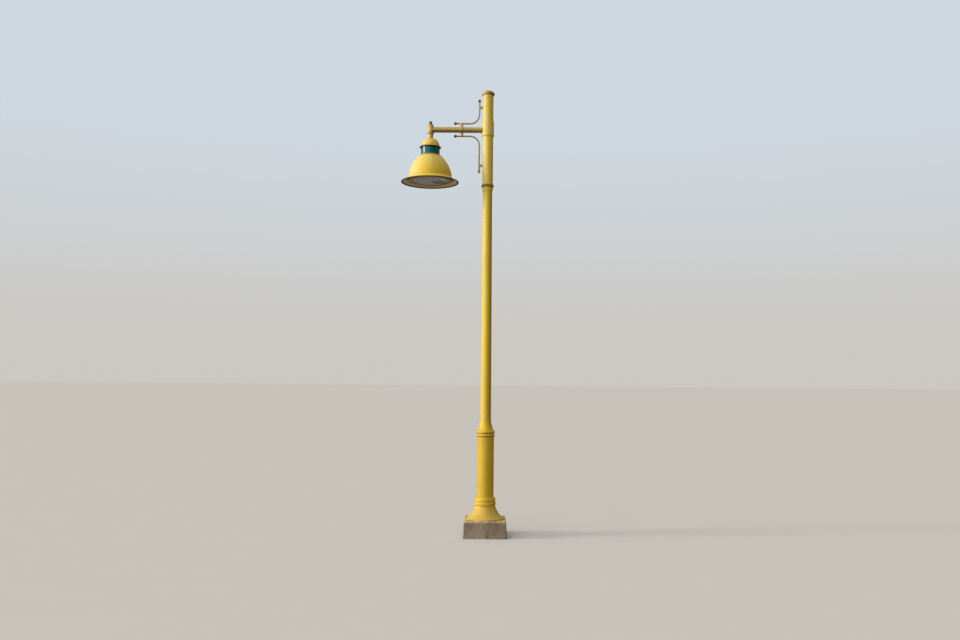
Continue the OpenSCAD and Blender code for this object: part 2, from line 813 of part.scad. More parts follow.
// Ring round the glass, with two hinge eyes and a lug for the closing screw
module door_ring() {
    in = lens_d / 2;
    pocket = ring_r - ring_wall;
    ear_y = eye_w / 2 + over;
    lug_w = screw_knob_d + 4;
    lug_in = screw_r - ring_r + ring_wall / 2;
    color(YELLOW) difference() {
        union() {
            lamp_turned([
                [in, ring_z], [ring_r - 2, ring_z], [ring_r, ring_z + 2], [ring_r, ring_top_z],
                [pocket, ring_top_z], [pocket, ring_z + lip_t], [in, ring_z + lip_t]
            ]);
            lamp_turned([
                [pocket - ring_wall, glass_z + lens_t + running], [pocket + 1, glass_z + lens_t + running],
                [pocket + 1, ring_top_z], [pocket - ring_wall + 2, ring_top_z]
            ]);
            for (y = [-ear_y - ear_w, ear_y]) translate([hinge_r - reach, 0, hinge_z]) {
                y_cylinder(eye_r, y, y + ear_w);
                translate([-hinge_out - 2, y, -eye_r]) cube([hinge_out + 2, ear_w, 2 * eye_r]);
            }
            translate([-reach - screw_r - screw_d, -lug_w / 2, ring_top_z - lug_h])
                cube([screw_d + lug_in, lug_w, lug_h]);
        }
        translate([hinge_r - reach, 0, hinge_z])
            y_cylinder(pin_r + running, -ear_y - ear_w - over, ear_y + ear_w + over);
        translate([-reach - screw_r, 0, ring_z]) cylinder(r = screw_d / 2 + fit, h = ring_h + over);
    }
}

module lens() {
    color([0.75, 0.80, 0.82, 0.5]) translate([-reach, 0, glass_z])
        cylinder(r = lens_d / 2 + lens_bite, h = lens_t);
}

module hinge_pin() {
    end = eye_w / 2 + over + ear_w + 2;
    color("silver") translate([hinge_r - reach, 0, hinge_z]) y_cylinder(pin_r, -end, end);
}

module closing_screw() {
    knob_h = 12;
    z = ring_top_z - lug_h - knob_h - weld;
    color("silver") translate([-reach - screw_r, 0, z]) {
        cylinder(d = screw_knob_d, h = knob_h);
        cylinder(d = screw_d, h = seat_z + seat_t - z);
    }
}

footing();
base_casting();
pedestal();
hand_hole_cover();
pedestal_cap();
shaft();
shaft_collar();
sleeve();
arm_collar();
post_cap();
arm();
arm_hub();
upper_rod();
lower_rod();
upper_stand_off();
lower_stand_off();
upper_end_ball();
upper_tip_ball();
lower_end_ball();
lower_tip_ball();
barrel();
barrel_knob();
stem();
dome_cap();
neck_band();
shade();
reflector();
reflector_ring();
seat_ring();
gasket();
lamp_socket();
lamp_bulb();
hinge_bracket();
door_ring();
lens();
hinge_pin();
closing_screw();
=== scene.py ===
import math

import bmesh
import bpy
import numpy as np
from mathutils import Matrix, Vector


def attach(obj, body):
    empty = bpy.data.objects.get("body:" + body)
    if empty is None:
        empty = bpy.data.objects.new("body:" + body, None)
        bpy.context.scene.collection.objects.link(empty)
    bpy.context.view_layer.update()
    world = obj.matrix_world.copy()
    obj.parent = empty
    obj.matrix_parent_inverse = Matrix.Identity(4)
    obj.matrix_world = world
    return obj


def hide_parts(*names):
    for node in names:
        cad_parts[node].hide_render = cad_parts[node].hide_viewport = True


# A park lamp post: a steel post on a concrete footing, with a bell shaded lamp on a side arm.
# Metres, +Z up, the post's axis at x = y = 0, the arm towards -X, the photograph's side at -Y.
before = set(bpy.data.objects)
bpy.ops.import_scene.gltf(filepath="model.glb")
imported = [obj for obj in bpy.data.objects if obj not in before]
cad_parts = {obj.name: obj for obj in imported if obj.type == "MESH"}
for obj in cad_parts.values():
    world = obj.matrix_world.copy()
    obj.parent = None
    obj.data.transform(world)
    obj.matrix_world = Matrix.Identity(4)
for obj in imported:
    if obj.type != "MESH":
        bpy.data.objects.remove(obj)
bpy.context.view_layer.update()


# Footing
# A square block of site-cast concrete with battered sides, a chamfered top edge and the cable
# duct up its middle. It was struck from a board mould, is worn at its edges and stained by paint.
FOOTING_TOP, CHAMFER = 0.184, 0.012


def skin(name, *shells):
    """One mesh from shells, each a grid of points with rows along its outline and columns round
    it, and the rows' edge values. Equal points are merged, which closes loops and poles."""
    points, faces, edges, first = [], [], [], 0
    for grid, edge in shells:
        rows, columns = grid.shape[:2]
        row, column = np.meshgrid(np.arange(rows - 1), np.arange(columns), indexing="ij")
        here, beside = row * columns + column, row * columns + (column + 1) % columns
        quads = np.stack([here, beside, beside + columns, here + columns], -1)
        faces.append(first + quads.reshape(-1, 4))
        points.append(grid.reshape(-1, 3))
        edges.append(np.broadcast_to(np.reshape(edge, (-1, 1)), (rows, columns)).ravel())
        first += rows * columns
    mesh = bpy.data.meshes.new(name)
    mesh.from_pydata(np.vstack(points), [], np.vstack(faces))
    mesh.attributes.new("edge", "FLOAT", "POINT").data.foreach_set("value", np.concatenate(edges))
    work = bmesh.new()
    work.from_mesh(mesh)
    bmesh.ops.remove_doubles(work, verts=work.verts, dist=1e-6)
    bmesh.ops.recalc_face_normals(work, faces=work.faces)
    work.to_mesh(mesh)
    work.free()
    mesh.polygons.foreach_set("use_smooth", np.ones(len(mesh.polygons), bool))
    piece = bpy.data.objects.new(name, mesh)
    bpy.context.scene.collection.objects.link(piece)
    return piece


def unevenness(points, wave, seed):
    """Smooth random field from -1 to 1: the mean of 24 cosines of about that wavelength, in
    seeded random directions and phases, stretched so that it fills its range."""
    draw = np.random.default_rng(seed)
    direction = draw.normal(size=(24, 3))
    direction *= 2 * math.pi / wave / np.linalg.norm(direction, axis=1, keepdims=True)
    direction *= draw.uniform(0.6, 1.5, (24, 1))
    phase = draw.uniform(0, 2 * math.pi, 24)
    return np.tanh(np.cos(points @ direction.T + phase).mean(-1) * 5)


def maths(operation, reflected=False):
    """Operator that adds that Math node; a reflected one has its own value on the right."""
    def work(own, other):
        numbers = (other, own) if reflected else (own, other)
        return own.nodes.add("ShaderNodeMath", {"operation": operation}, numbers)
    return work


class Value:
    """One value in a node tree. Arithmetic on it adds the Math nodes that work it out."""
    __add__, __radd__ = maths("ADD"), maths("ADD", True)
    __sub__, __rsub__ = maths("SUBTRACT"), maths("SUBTRACT", True)
    __mul__, __rmul__ = maths("MULTIPLY"), maths("MULTIPLY", True)
    __pow__ = maths("POWER")

    def __init__(self, nodes, socket):
        self.nodes, self.socket = nodes, socket

    def __neg__(self):
        return self * -1

    def between(self, low, high):
        """0 at low, 1 at high and an S curve between; low may be the larger."""
        sizes = {"Value": self, "From Min": low, "From Max": high}
        return self.nodes.add("ShaderNodeMapRange", {"interpolation_type": "SMOOTHSTEP"}, sizes)


class Nodes:
    """The node tree of a material or a world, which starts empty."""

    def __init__(self, owner):
        owner.use_nodes = True
        self.owner, self.tree = owner, owner.node_tree
        self.tree.nodes.clear()

    def add(self, kind, settings=None, inputs=(), out=0):
        """A node of that type with its settings, then its sockets' values or links. The answer is
        the output of that name or number; a node that ends the tree has none."""
        node = self.tree.nodes.new(kind)
        for key, setting in (settings or {}).items():
            setattr(node, key, setting)
        for key, value in inputs.items() if isinstance(inputs, dict) else enumerate(inputs):
            if isinstance(value, Value):
                self.tree.links.new(value.socket, node.inputs[key])
            else:
                node.inputs[key].default_value = value
        return Value(self, node.outputs[out]) if node.outputs else None

    def coats(self, colour, *over):
        """Colour under coats laid on in turn, each a colour and the share by which it covers."""
        for tone, share in over:
            under, tone = (c if isinstance(c, Value) else (*c, 1.0) for c in (colour, tone))
            colour = self.add("ShaderNodeMix", {"data_type": "RGBA"}, {0: share, 6: under, 7: tone}, 2)
        return colour


class Finish(Nodes):
    """A finish under way: its constants, and the nodes that vary it over a piece."""

    def __init__(self, name, **constants):
        super().__init__(bpy.data.materials.new(name))
        self.constants = constants
        self.place = self.add("ShaderNodeTexCoord", out="Object")
        self.edge = self.add("ShaderNodeAttribute", {"attribute_name": "edge"}, out="Fac")

    def axis(self, letter):
        """The object's own x, y or z, in metres."""
        return self.add("ShaderNodeSeparateXYZ", {}, [self.place], letter.upper())

    def noise(self, scale, detail=3.0, stretch=None, rough=0.5):
        """Noise of that many cells a metre, stretched if asked."""
        place = self.place
        if stretch:
            place = self.add("ShaderNodeVectorMath", {"operation": "MULTIPLY"}, [place, stretch])
        sizes = {"Vector": place, "Scale": scale, "Detail": detail, "Roughness": rough}
        return self.add("ShaderNodeTexNoise", {}, sizes)

    def grains(self, scale):
        """Distance to the nearest of scattered grains, that many a metre."""
        return self.add("ShaderNodeTexVoronoi", {}, {"Vector": self.place, "Scale": scale}, "Distance")

    def relief(self, height, depth, below=None):
        """Normal of a surface whose height runs over that depth, on top of the one below."""
        sizes = {"Height": height, "Distance": depth, "Strength": 1.0}
        if below:
            sizes["Normal"] = below
        return self.add("ShaderNodeBump", {}, sizes)

    def surface(self, **sockets):
        """A Principled surface; an underscore in a socket's name stands for a space."""
        sockets = {name.replace("_", " "): value for name, value in sockets.items()}
        return self.add("ShaderNodeBsdfPrincipled", {}, sockets)

    def show(self, surface):
        """The material, which shows that surface."""
        self.add("ShaderNodeOutputMaterial", {}, {"Surface": surface})
        return self.owner

    def feed(self, **varied):
        """The material, made from the constants and from what varies over the surface."""
        return self.show(self.surface(**self.constants, **varied))


def fit(piece, material, slot, *nodes, body="post"):
    """Finishes a piece, fixes it to its body and lets it stand for its CAD nodes."""
    piece.data.materials.append(material)
    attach(piece, body)
    if nodes:
        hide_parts(*nodes)
    return piece


def rounded_square(half, corner, side=56, bend=8):
    """Outline of a square with round corners, as complex numbers: one side and one corner arc,
    turned by 0, 90, 180 and 270 degrees."""
    straight = half + 1j * np.linspace(corner - half, half - corner, side, endpoint=False)
    turn = np.linspace(0, math.pi / 2, bend, endpoint=False)
    arc = (half - corner) * (1 + 1j) + corner * np.exp(1j * turn)
    fourth = np.concatenate([straight, arc])
    return (fourth * np.array([1, 1j, -1, -1j])[:, None]).ravel()


def footing_block():
    """Loop of level outlines: up the batter, over the chamfer, across the top to the duct, down
    the duct and out along the underside. A row mixes the square outline with the duct's circle."""
    foot, head, duct, shoulder = 0.243, 0.233, 0.030, FOOTING_TOP - CHAMFER
    rise = np.linspace(0, 1, 36)
    bend = np.linspace(0, 1, 8)[1:]
    across = np.array([0.02, 0.06, 0.12, 0.2, 0.3, 0.42, 0.56, 0.72, 0.88, 1])
    side = [foot + (head - foot) * rise, shoulder * rise, 0 * rise]
    edge = [head - CHAMFER * bend, shoulder + CHAMFER * np.sin(bend * math.pi / 2), 0 * bend]
    top = [0 * across + head - CHAMFER, 0 * across + FOOTING_TOP, across]
    bore = [np.full(8, foot), np.linspace(FOOTING_TOP, 0, 8), np.ones(8)]
    base = [np.full(6, foot), np.zeros(6), np.linspace(1, 0, 6)]
    half, height, share = np.hstack([side, edge, top, bore, base])
    unit = rounded_square(1, 0.035)
    circle = duct * unit / abs(unit)
    flat = (1 - share)[:, None] * half[:, None] * unit + share[:, None] * circle
    z = np.broadcast_to(height[:, None], flat.shape)
    return np.stack([flat.real, flat.imag, z], -1), height, share


def worn_block():
    """The block with its sides rippled by a board mould and its top edge chipped where two random
    fields meet. Both draw a point in towards the axis, and a chip also lowers it."""
    grid, height, share = footing_block()
    from_edge = height - (FOOTING_TOP - CHAMFER / 2)
    on_side = (share[:, None] == 0) & (height[:, None] > 0.002)
    near_edge = np.exp(-(from_edge[:, None] / 0.016) ** 2) * (share[:, None] < 0.05)
    chip = unevenness(grid, 0.045, 3) * unevenness(grid, 0.019, 4) - 0.42
    chip = np.clip(chip, 0, 1) * near_edge
    sag = 0.0009 * (unevenness(grid, 0.06, 1) - 1) + 0.0004 * (unevenness(grid, 0.016, 2) - 1)
    shrink = on_side * sag - 0.012 * chip
    out = np.abs(grid[..., :2]).max(-1, keepdims=True)
    grid[..., :2] *= 1 + shrink[..., None] / np.maximum(out, 0.05)
    grid[..., 2] -= 0.006 * chip
    return grid, np.exp(-(from_edge / 0.008) ** 2) * (share < 0.05)


def weathered_concrete():
    """Beige concrete: mortar with sand and stones showing, moss low down, rust runs, yellow paint
    spilt from the casting's edge, small air holes and pale worn edges."""
    f = Finish("weathered_concrete", Specular_IOR_Level=0.3)
    z, cloud, sand, stones = f.axis("z"), f.noise(5, 4), f.noise(420, 2), f.grains(95.0)
    runs = f.noise(1, 3, (26, 26, 2.2)).between(0.5, 0.66) * (z + cloud * 0.12).between(0.10, 0.24)
    moss = f.noise(16, 5).between(0.52, 0.66) * (z + cloud * 0.1).between(0.2, 0.06)
    spill = f.noise(24, 4).between(0.42, 0.54) * z.between(FOOTING_TOP - 0.020, FOOTING_TOP - 0.001)
    pits = f.grains(48.0).between(0.16, 0.10) * f.noise(19, 2).between(0.54, 0.6)
    colour = f.coats(
        (0.34, 0.27, 0.19),
        ((0.22, 0.17, 0.115), cloud.between(0.38, 0.68)),
        ((0.44, 0.37, 0.27), stones.between(0.42, 0.2) * sand.between(0.4, 0.7) * 0.6),
        ((0.20, 0.165, 0.12), sand.between(0.52, 0.72) * 0.45),
        ((0.22, 0.12, 0.05), runs * 0.8),
        ((0.12, 0.115, 0.045), moss * 0.7),
        ((0.70, 0.50, 0.13), spill * 0.8),
        ((0.07, 0.06, 0.045), pits),
        ((0.58, 0.52, 0.43), f.edge.between(0.25, 0.9) * f.noise(60).between(0.4, 0.6) * 0.7),
    )
    normal = f.relief(sand * 0.6 + stones.between(0.5, 0.1) * 0.5, 0.0012)
    normal = f.relief(1 - pits, 0.004, normal)
    return f.feed(Base_Color=colour, Roughness=0.82 + sand * 0.14, Normal=normal)


fit(skin("concrete_footing", worn_block()), weathered_concrete(), "concrete", "footing")


# Base casting
# The post's trumpet foot: one hollow iron casting with a flange, a flare and two half round
# rings, machined inside for the pedestal, primed and painted yellow with the rest of the post.
YELLOW, FADED, OCHRE = (0.77, 0.50, 0.016), (0.80, 0.58, 0.085), (0.59, 0.33, 0.010)
PEDESTAL_R, FIT, TOUCH = 0.095, 0.0003, 0.0001
CAP_FOOT = 1.0955


def outline(*parts, step=0.004, loop=True):
    """Outline through corners (r, h, ease) and curves of points (r, h). At a corner the line
    follows the parabola that touches both sides at the distance ease, and then every stretch
    is split into lengths of at most step. A loop ends on its first point again."""
    parts = [np.atleast_2d(np.asarray(part, float)) for part in parts]
    parts = [part if part.shape[1] == 3 else np.c_[part, np.zeros(len(part))] for part in parts]
    corners = np.vstack(parts)
    at = corners[:, :2]
    back, on = np.roll(at, 1, 0) - at, np.roll(at, -1, 0) - at
    back_length = np.linalg.norm(back, axis=1).clip(1e-9)
    on_length = np.linalg.norm(on, axis=1).clip(1e-9)
    ease = np.minimum(corners[:, 2], 0.49 * np.minimum(back_length, on_length))
    start = at + back * (ease / back_length)[:, None]
    end = at + on * (ease / on_length)[:, None]
    s = np.linspace(0, 1, 7)[None, :, None]
    line = (1 - s) ** 2 * start[:, None] + 2 * s * (1 - s) * at[:, None] + s ** 2 * end[:, None]
    line = line.reshape(-1, 2)
    if loop:
        line = np.vstack([line, line[:1]])
    line = line[np.r_[True, np.linalg.norm(np.diff(line, axis=0), axis=1) > 1e-6]]
    marks = np.r_[0, np.cumsum(np.linalg.norm(np.diff(line, axis=0), axis=1))]
    spans = zip(marks, marks[1:])
    cuts = [np.linspace(a, b, math.ceil((b - a) / step), endpoint=False) for a, b in spans]
    cuts = np.concatenate([*cuts, marks[-1:]])
    return np.c_[np.interp(cuts, marks, line[:, 0]), np.interp(cuts, marks, line[:, 1])]


def edge_of(line):
    """How much of a ridge (+1) or a groove (-1) each point is: tanh of the outline's turning
    within about 3.5 mm, weighted by a bell curve."""
    side = np.diff(line, axis=0)
    heading = np.unwrap(np.arctan2(side[:, 1], side[:, 0]))
    turn = np.r_[0, np.diff(heading), 0]
    along = np.r_[0, np.cumsum(np.linalg.norm(side, axis=1))]
    near = np.exp(-((along[:, None] - along) / 0.0035) ** 2)
    return np.tanh(1.2 * near @ turn)


def turned(line, at=(0, 0, 0), axis=(0, 0, 1), around=96):
    """Shell of revolution: the outline's (r, h) at turn t lies at
    at + r (cos t across + sin t beside) + h axis."""
    axis = np.array(axis, float)
    beside = np.array((0, 0, 1.0) if abs(axis[1]) > 0.5 else (0, 1.0, 0))
    across = np.cross(beside, axis)
    turn = np.arange(around) * 2 * math.pi / around
    spoke = np.cos(turn)[:, None] * across + np.sin(turn)[:, None] * beside
    grid = line[:, 0, None, None] * spoke + line[:, 1, None, None] * axis + np.array(at, float)
    return grid, edge_of(line)


def quarter(upright, level, power, start=0, end=1, points=28):
    """Quarter curve from the point where it stands upright to the one where it lies level:
    x by cos to the power 2 / power, height by sin to the same power."""
    a = np.linspace(start, end, points) * math.pi / 2
    x = level[0] + (upright[0] - level[0]) * np.abs(np.cos(a)) ** (2 / power)
    z = upright[1] + (level[1] - upright[1]) * np.abs(np.sin(a)) ** (2 / power)
    return np.c_[x, z]


def half_round(r, h, out, half, ease=0.0015, points=14):
    """Half round that bulges out from an upright line, its two ends eased into the line."""
    a = np.linspace(-math.pi / 2, math.pi / 2, points)
    line = np.c_[r + out * np.cos(a), h + half * np.sin(a), np.zeros(points)]
    line[[0, -1], 2] = ease
    return line


def darker(tone, share):
    """That share of a colour's light."""
    return tuple(share * c for c in tone)


def painted(name, tone, faded, deep, cast=0.0, tall=False, runs=0.35, gloss=0.48, dark_line_z=0.0, shine=0.45):
    """Brushed enamel that has stood outside for years: clouds of faded and deeper tone, thin dark
    runs, dirt and painted shade in the grooves, chips through to brown primer on the ridges and
    a painted shadow line at a given height. Over cast iron it stays pebbled. On the tall pieces
    it is deeper below 1 m, more faded above 2.6 m and darker on the shaft's right side, which is
    painted shade, with dust splashed up from below."""
    rising = 0.4 if tall else 0.0
    f = Finish(name, Coat_Roughness=0.34, Specular_IOR_Level=shine)
    cloud, mottle, grain, z = f.noise(2.6, 4), f.noise(17, 5), f.noise(130, 4), f.axis("z")
    aloft = z.between(1.0, 2.6)
    # Darker on the shaft's right side, away from the light: painted shade.
    shadow_side = f.axis("x").between(0.0, 0.055) * z.between(1.1, 1.4) * rising * 1.3
    streak = f.noise(1, 4, (52, 52, 1.3), 0.6).between(0.53, 0.74)
    thin = f.noise(1, 2, (170, 170, 3.5)).between(0.56, 0.72)
    grime = (streak * 0.7 + thin * 0.5) * runs * (0.45 + mottle)
    # Darker in the grooves: dirt and painted shade.
    groove = (-f.edge).between(0.08, 0.85) * (0.55 + mottle * 0.7)
    chips = f.edge.between(0.3, 0.95) * f.noise(75, 5, None, 0.65).between(0.56, 0.6)
    worn = chips + f.noise(38, 5, None, 0.7).between(0.735, 0.75)
    colour = f.coats(
        tone,
        (faded, cloud.between(0.46, 0.72) * 0.5 + aloft * rising),
        (deep, mottle.between(0.5, 0.75) * 0.32 + (1 - aloft) * rising * 0.6),
        (darker(deep, 0.3), shadow_side),
        (darker(deep, 0.28), grime),
        ((0.085, 0.05, 0.006), groove * 0.72),
        ((0.13, 0.055, 0.025), worn * 0.85),
    )
    rough = gloss + mottle * 0.16 + grime * 0.3 + worn * 0.35
    # A dark line at a given height: painted shadow, used under the cap's lower ring and the neck's brim.
    if dark_line_z:
        shadow_line_share = z.between(dark_line_z - 0.008, dark_line_z - 0.001) * z.between(dark_line_z + 0.010, dark_line_z + 0.002)
        colour = f.coats(colour, (darker(deep, 0.15), shadow_line_share * 0.85))
    if tall:
        dust = (z + mottle * 0.22 + grain * 0.05).between(0.64, 0.22)
        splash = grain.between(0.58, 0.7) * (z + mottle * 0.3).between(0.756, 0.3)
        colour = f.coats(colour, ((0.36, 0.28, 0.17), dust * 0.42 + splash * 0.25))
        rough = rough + dust * 0.3
    normal = f.relief(f.noise(46, 3) * 0.8 + grain * 0.2, 0.0007 + 0.0012 * cast)
    normal = f.relief(f.noise(520, 2), 0.00012 + 0.00055 * cast, normal)
    normal = f.relief(1 - worn, 0.0003, normal)
    return f.feed(Base_Color=colour, Roughness=rough, Coat_Weight=0.16 - groove * 0.15, Normal=normal)


# The dark line at the cap's foot is a painted shadow under its lower ring.
cast_yellow = painted("cast_yellow_enamel", YELLOW, FADED, OCHRE, cast=1.0, tall=True, runs=0.5,
                      gloss=0.5, dark_line_z=CAP_FOOT)
wall, socket, flare, top, ledge = 0.009, PEDESTAL_R + FIT, 0.148, 0.2405, 0.1845
trumpet_line = outline(
    (0.208, 0, 0.001), (0.208, 0.0105, 0.003), quarter((0.114, flare), (0.2045, 0.014), 1.4)[::-1],
    half_round(0.1095, 0.170, 0.0105, 0.022), half_round(0.1095, 0.214, 0.0065, 0.022),
    (socket + wall / 2, top, 0.001), (socket, top, 0.0015), (socket, ledge), (socket - wall, ledge),
    (socket - wall, ledge - wall), quarter((0.105, flare), (0.2045, 0.005), 1.4, 0, 0.66), (0.1672, 0),
)
trumpet = turned(trumpet_line, (0, 0, FOOTING_TOP), around=144)
fit(skin("trumpet_base", trumpet), cast_yellow, "yellow_paint", "base_casting")


# Pedestal and its hand hole
# A length of wide steel tube that stands in the casting. Its CAD solid keeps its place and gets a
# darker yellow, which is painted shade low on the post. A curved steel cover closes the hand hole
# at the back with two round screws.
COVER_Z = 0.7385


def scratched_steel():
    """Bare steel with fine scratches and rust in spots."""
    f = Finish("bare_steel", Metallic=1.0)
    scratch, rust = f.noise(1, 4, (420, 420, 60)), f.noise(60, 5).between(0.6, 0.72)
    colour = f.coats((0.52, 0.51, 0.49), ((0.20, 0.09, 0.04), rust * 0.6))
    rough = 0.28 + scratch * 0.2 + rust * 0.4
    return f.feed(Base_Color=colour, Roughness=rough, Normal=f.relief(scratch, 0.00015))


def paint_over(material, *nodes):
    """Gives CAD nodes whose shape is right a finish of the scene's."""
    for node in nodes:
        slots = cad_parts[node].data.materials
        slots.clear()
        slots.append(material)


def wrapped_plate(half_width, half_height, corner, radius, thickness, middle):
    """Plate bent round the tube: rings of a rounded rectangle, from the middle of the outer face
    over the eased rim to the middle of the back. A flat x becomes the turn x / radius."""
    straight = 1 - corner / half_width
    unit = rounded_square(1, corner / half_width, 24, 10)
    rim = unit * half_width + 1j * np.sign(unit.imag) * (half_height - half_width)
    flank = unit.real * half_width + 1j * unit.imag * (half_height - corner) / straight
    rim = np.where(np.abs(unit.imag) < straight, flank, rim)
    share = np.array([0, 0.3, 0.6, 0.85, 0.95, 0.985, 1, 1, 0.985, 0.8, 0.4, 0])
    level = np.array([1, 1, 1, 1, 1, 0.97, 0.7, 0.1, 0, 0, 0, 0])
    flat = share[:, None] * rim
    out = radius + thickness * level[:, None]
    turn = flat.real / radius
    grid = np.stack([-out * np.sin(turn), out * np.cos(turn), middle + flat.imag], -1)
    return grid, np.exp(-((share - 0.99) / 0.03) ** 2) * (level > 0.5)


def button_head(at, r, h=0.0026):
    """Round screw head with a hollow drive, on the post's back: a flat dome turned about +Y."""
    line = outline(
        (0, 0), (r, 0, 0.0003), (r, 0.2 * h, 0.0005), (0.62 * r, h, 0.0012), (0.42 * r, h, 0.0003),
        (0.36 * r, 0.45 * h, 0.0003), (0, 0.4 * h), step=0.0008, loop=False,
    )
    return turned(line, at, (0, 1, 0), 24)


bare_steel = scratched_steel()
# A darker copy of the yellow, painted shade low on the post; painted shadow under the cap's ring.
pedestal_yellow = painted("pedestal_enamel_painted_shade", (0.66, 0.43, 0.009), (0.68, 0.47, 0.03), (0.50, 0.28, 0.007),
                          tall=True, runs=0.5, gloss=0.52, dark_line_z=CAP_FOOT)
paint_over(pedestal_yellow, "pedestal")
cover = wrapped_plate(0.058, 0.122, 0.030, PEDESTAL_R + TOUCH, 0.003, COVER_Z)
fit(skin("hand_hole_cover_plate", cover), pedestal_yellow, "yellow_paint", "hand_hole_cover")
heads = [button_head((0, PEDESTAL_R + 0.0029, COVER_Z + up), 0.0048) for up in (-0.1155, 0.1155)]
fit(skin("cover_screws", *heads), bare_steel, "bare_steel")


# Pedestal cap
# An iron casting on a spigot in the pedestal: two half round rings with a groove between, and
# a bell shaped shoulder that sweeps in to the shaft, which stands in its deep socket.
cap_line = outline(
    (0.0530, -0.040), (0.0887, -0.040), (0.0887, 0), (0.0945, 0, 0.0008),
    half_round(0.095, 0.0135, 0.0095, 0.0135), half_round(0.095, 0.0505, 0.0095, 0.0135),
    (0.0940, 0.0645, 0.001), quarter((0.06175, 0.176), (0.092, 0.071), 1.4)[::-1],
    (0.0606, 0.176, 0.0006), (0.0606, 0.056), (0.0530, 0.056),
)
cap = turned(cap_line, (0, 0, CAP_FOOT), around=128)
fit(skin("pedestal_cap_casting", cap), cast_yellow, "yellow_paint", "pedestal_cap")


# Shaft
# The long tapered steel tube, rolled and seam welded, painted in place. Its CAD solid is right
# as it is and only gets its paint.
# Its right side, away from the light, is painted darker: painted shade.
tube_yellow = painted("tube_yellow_enamel", YELLOW, FADED, OCHRE, tall=True, runs=0.42, gloss=0.5)
paint_over(tube_yellow, "shaft")


# Shaft collar
# An iron funnel casting that widens from the shaft to the upper tube, with one round ring at its
# top. It sits over the shaft's end and holds the tube's foot. Its ring and top are painted dark
# brown.
SLEEVE_R, RING_Z = 0.0605, 3.9375


def stained_and_shaded(name, tone, deep, wash, start, end, amount, dark_line_z=0.0, shadow_side=0.0):
    """The enamel under a brown wash whose share grows between two heights, in thin runs; on the
    arm's underside the wash is painted shade. A dark line sits at a given height, and the side
    beyond a place along the arm is darker, which is painted shade."""
    f = Finish(name, Coat_Roughness=0.34, Coat_Weight=0.15)
    z, mottle, streak = f.axis("z"), f.noise(40, 5), f.noise(1, 3, (130, 130, 9))
    tint_share = (z + (streak - 0.5) * (end - start) * 0.5).between(start, end)
    over = [(deep, mottle.between(0.45, 0.7) * 0.4), (wash, tint_share * (amount - 0.3 + 0.6 * mottle))]
    if dark_line_z:
        line = z.between(dark_line_z - 0.008, dark_line_z - 0.003) * z.between(dark_line_z + 0.008, dark_line_z + 0.003)
        over.append(((0.12, 0.06, 0.01), line * 0.75))
    # The side beyond that place along the arm is darker: painted shade.
    if shadow_side:
        over.append(((0.05, 0.04, 0.015), f.axis("x").between(shadow_side, shadow_side + 0.018) * 0.75))
    # Darker in the grooves: dirt and painted shade.
    over.append(((0.09, 0.05, 0.02), (-f.edge).between(0.1, 0.9) * 0.75))
    rough, normal = 0.40 + mottle * 0.15 + tint_share * 0.2, f.relief(f.noise(260, 3), 0.0002)
    return f.feed(Base_Color=f.coats(tone, *over), Roughness=rough, Normal=normal)


collar_paint = stained_and_shaded("collar_enamel_dark_ring", YELLOW, OCHRE, (0.09, 0.055, 0.012),
                       RING_Z - 0.0185, RING_Z - 0.0115, 0.85)
collar_line = outline(
    (0.0533, -0.064), (0.0550, -0.064, 0.0006), quarter((0.0635, -0.018), (0.0553, -0.062), 1.4)[::-1],
    half_round(0.0635, 0, 0.008, 0.016, 0.002), (SLEEVE_R + FIT, 0.016, 0.0006), (SLEEVE_R + FIT, -0.008),
    (0.0450, -0.008), (0.0450, -0.024), (0.0533, -0.024),
)
collar = turned(collar_line, (0, 0, RING_Z))
fit(skin("shaft_collar_casting", collar), collar_paint, "yellow_paint", "shaft_collar")


# Sleeve and post cap
# The wider upper tube stands in the collar. A cast cap with a round rim and a low dome closes
# it, where rain and shade leave a green bloom.
CHALKY, CHALKY_LIGHT, CHALKY_DEEP = (0.76, 0.55, 0.09), (0.76, 0.59, 0.17), (0.56, 0.36, 0.045)
CAP_RIM_Z = 5.0095


def bloomed():
    """The enamel with a thin green bloom over the dome, thickest on its sheltered side, brown
    dirt under the rim and black specks of soot."""
    f = Finish("bloomed_enamel", Coat_Roughness=0.25, Specular_IOR_Level=0.4)
    z, cloud, grain = f.axis("z"), f.noise(30, 5), f.noise(150, 4)
    bloom = (z + f.axis("x") * 0.35 + cloud * 0.02).between(CAP_RIM_Z - 0.0195, CAP_RIM_Z + 0.0305)
    under_rim = (z + cloud * 0.004).between(CAP_RIM_Z - 0.002, CAP_RIM_Z - 0.007)
    colour = f.coats(
        CHALKY,
        (CHALKY_DEEP, cloud.between(0.45, 0.7) * 0.4),
        ((0.15, 0.18, 0.065), bloom * (0.6 + 0.4 * cloud)),
        ((0.12, 0.06, 0.01), under_rim * 0.85),
        # Darker in the grooves: dirt and painted shade.
        ((0.10, 0.08, 0.03), (-f.edge).between(0.1, 0.9) * 0.8),
        ((0.05, 0.045, 0.02), grain.between(0.62, 0.7) * bloom * 0.6),
    )
    normal = f.relief(f.noise(300, 3), 0.0005)
    return f.feed(Base_Color=colour, Roughness=0.45 + bloom * 0.25, Normal=normal)


upper_yellow = painted("chalky_tube_enamel", CHALKY, CHALKY_LIGHT, CHALKY_DEEP, runs=0.42)
paint_over(upper_yellow, "sleeve")
post_cap_line = outline(
    (0, 0.0065), (SLEEVE_R + FIT, 0.0065), (SLEEVE_R + FIT, -0.011, 0.0005),
    half_round(0.070, 0, 0.004, 0.011, 0.001), quarter((0.068, 0.011), (0, 0.039), 2), loop=False,
)
post_cap = turned(post_cap_line, (0, 0, CAP_RIM_Z))
fit(skin("post_cap_casting", post_cap), bloomed(), "yellow_paint", "post_cap")


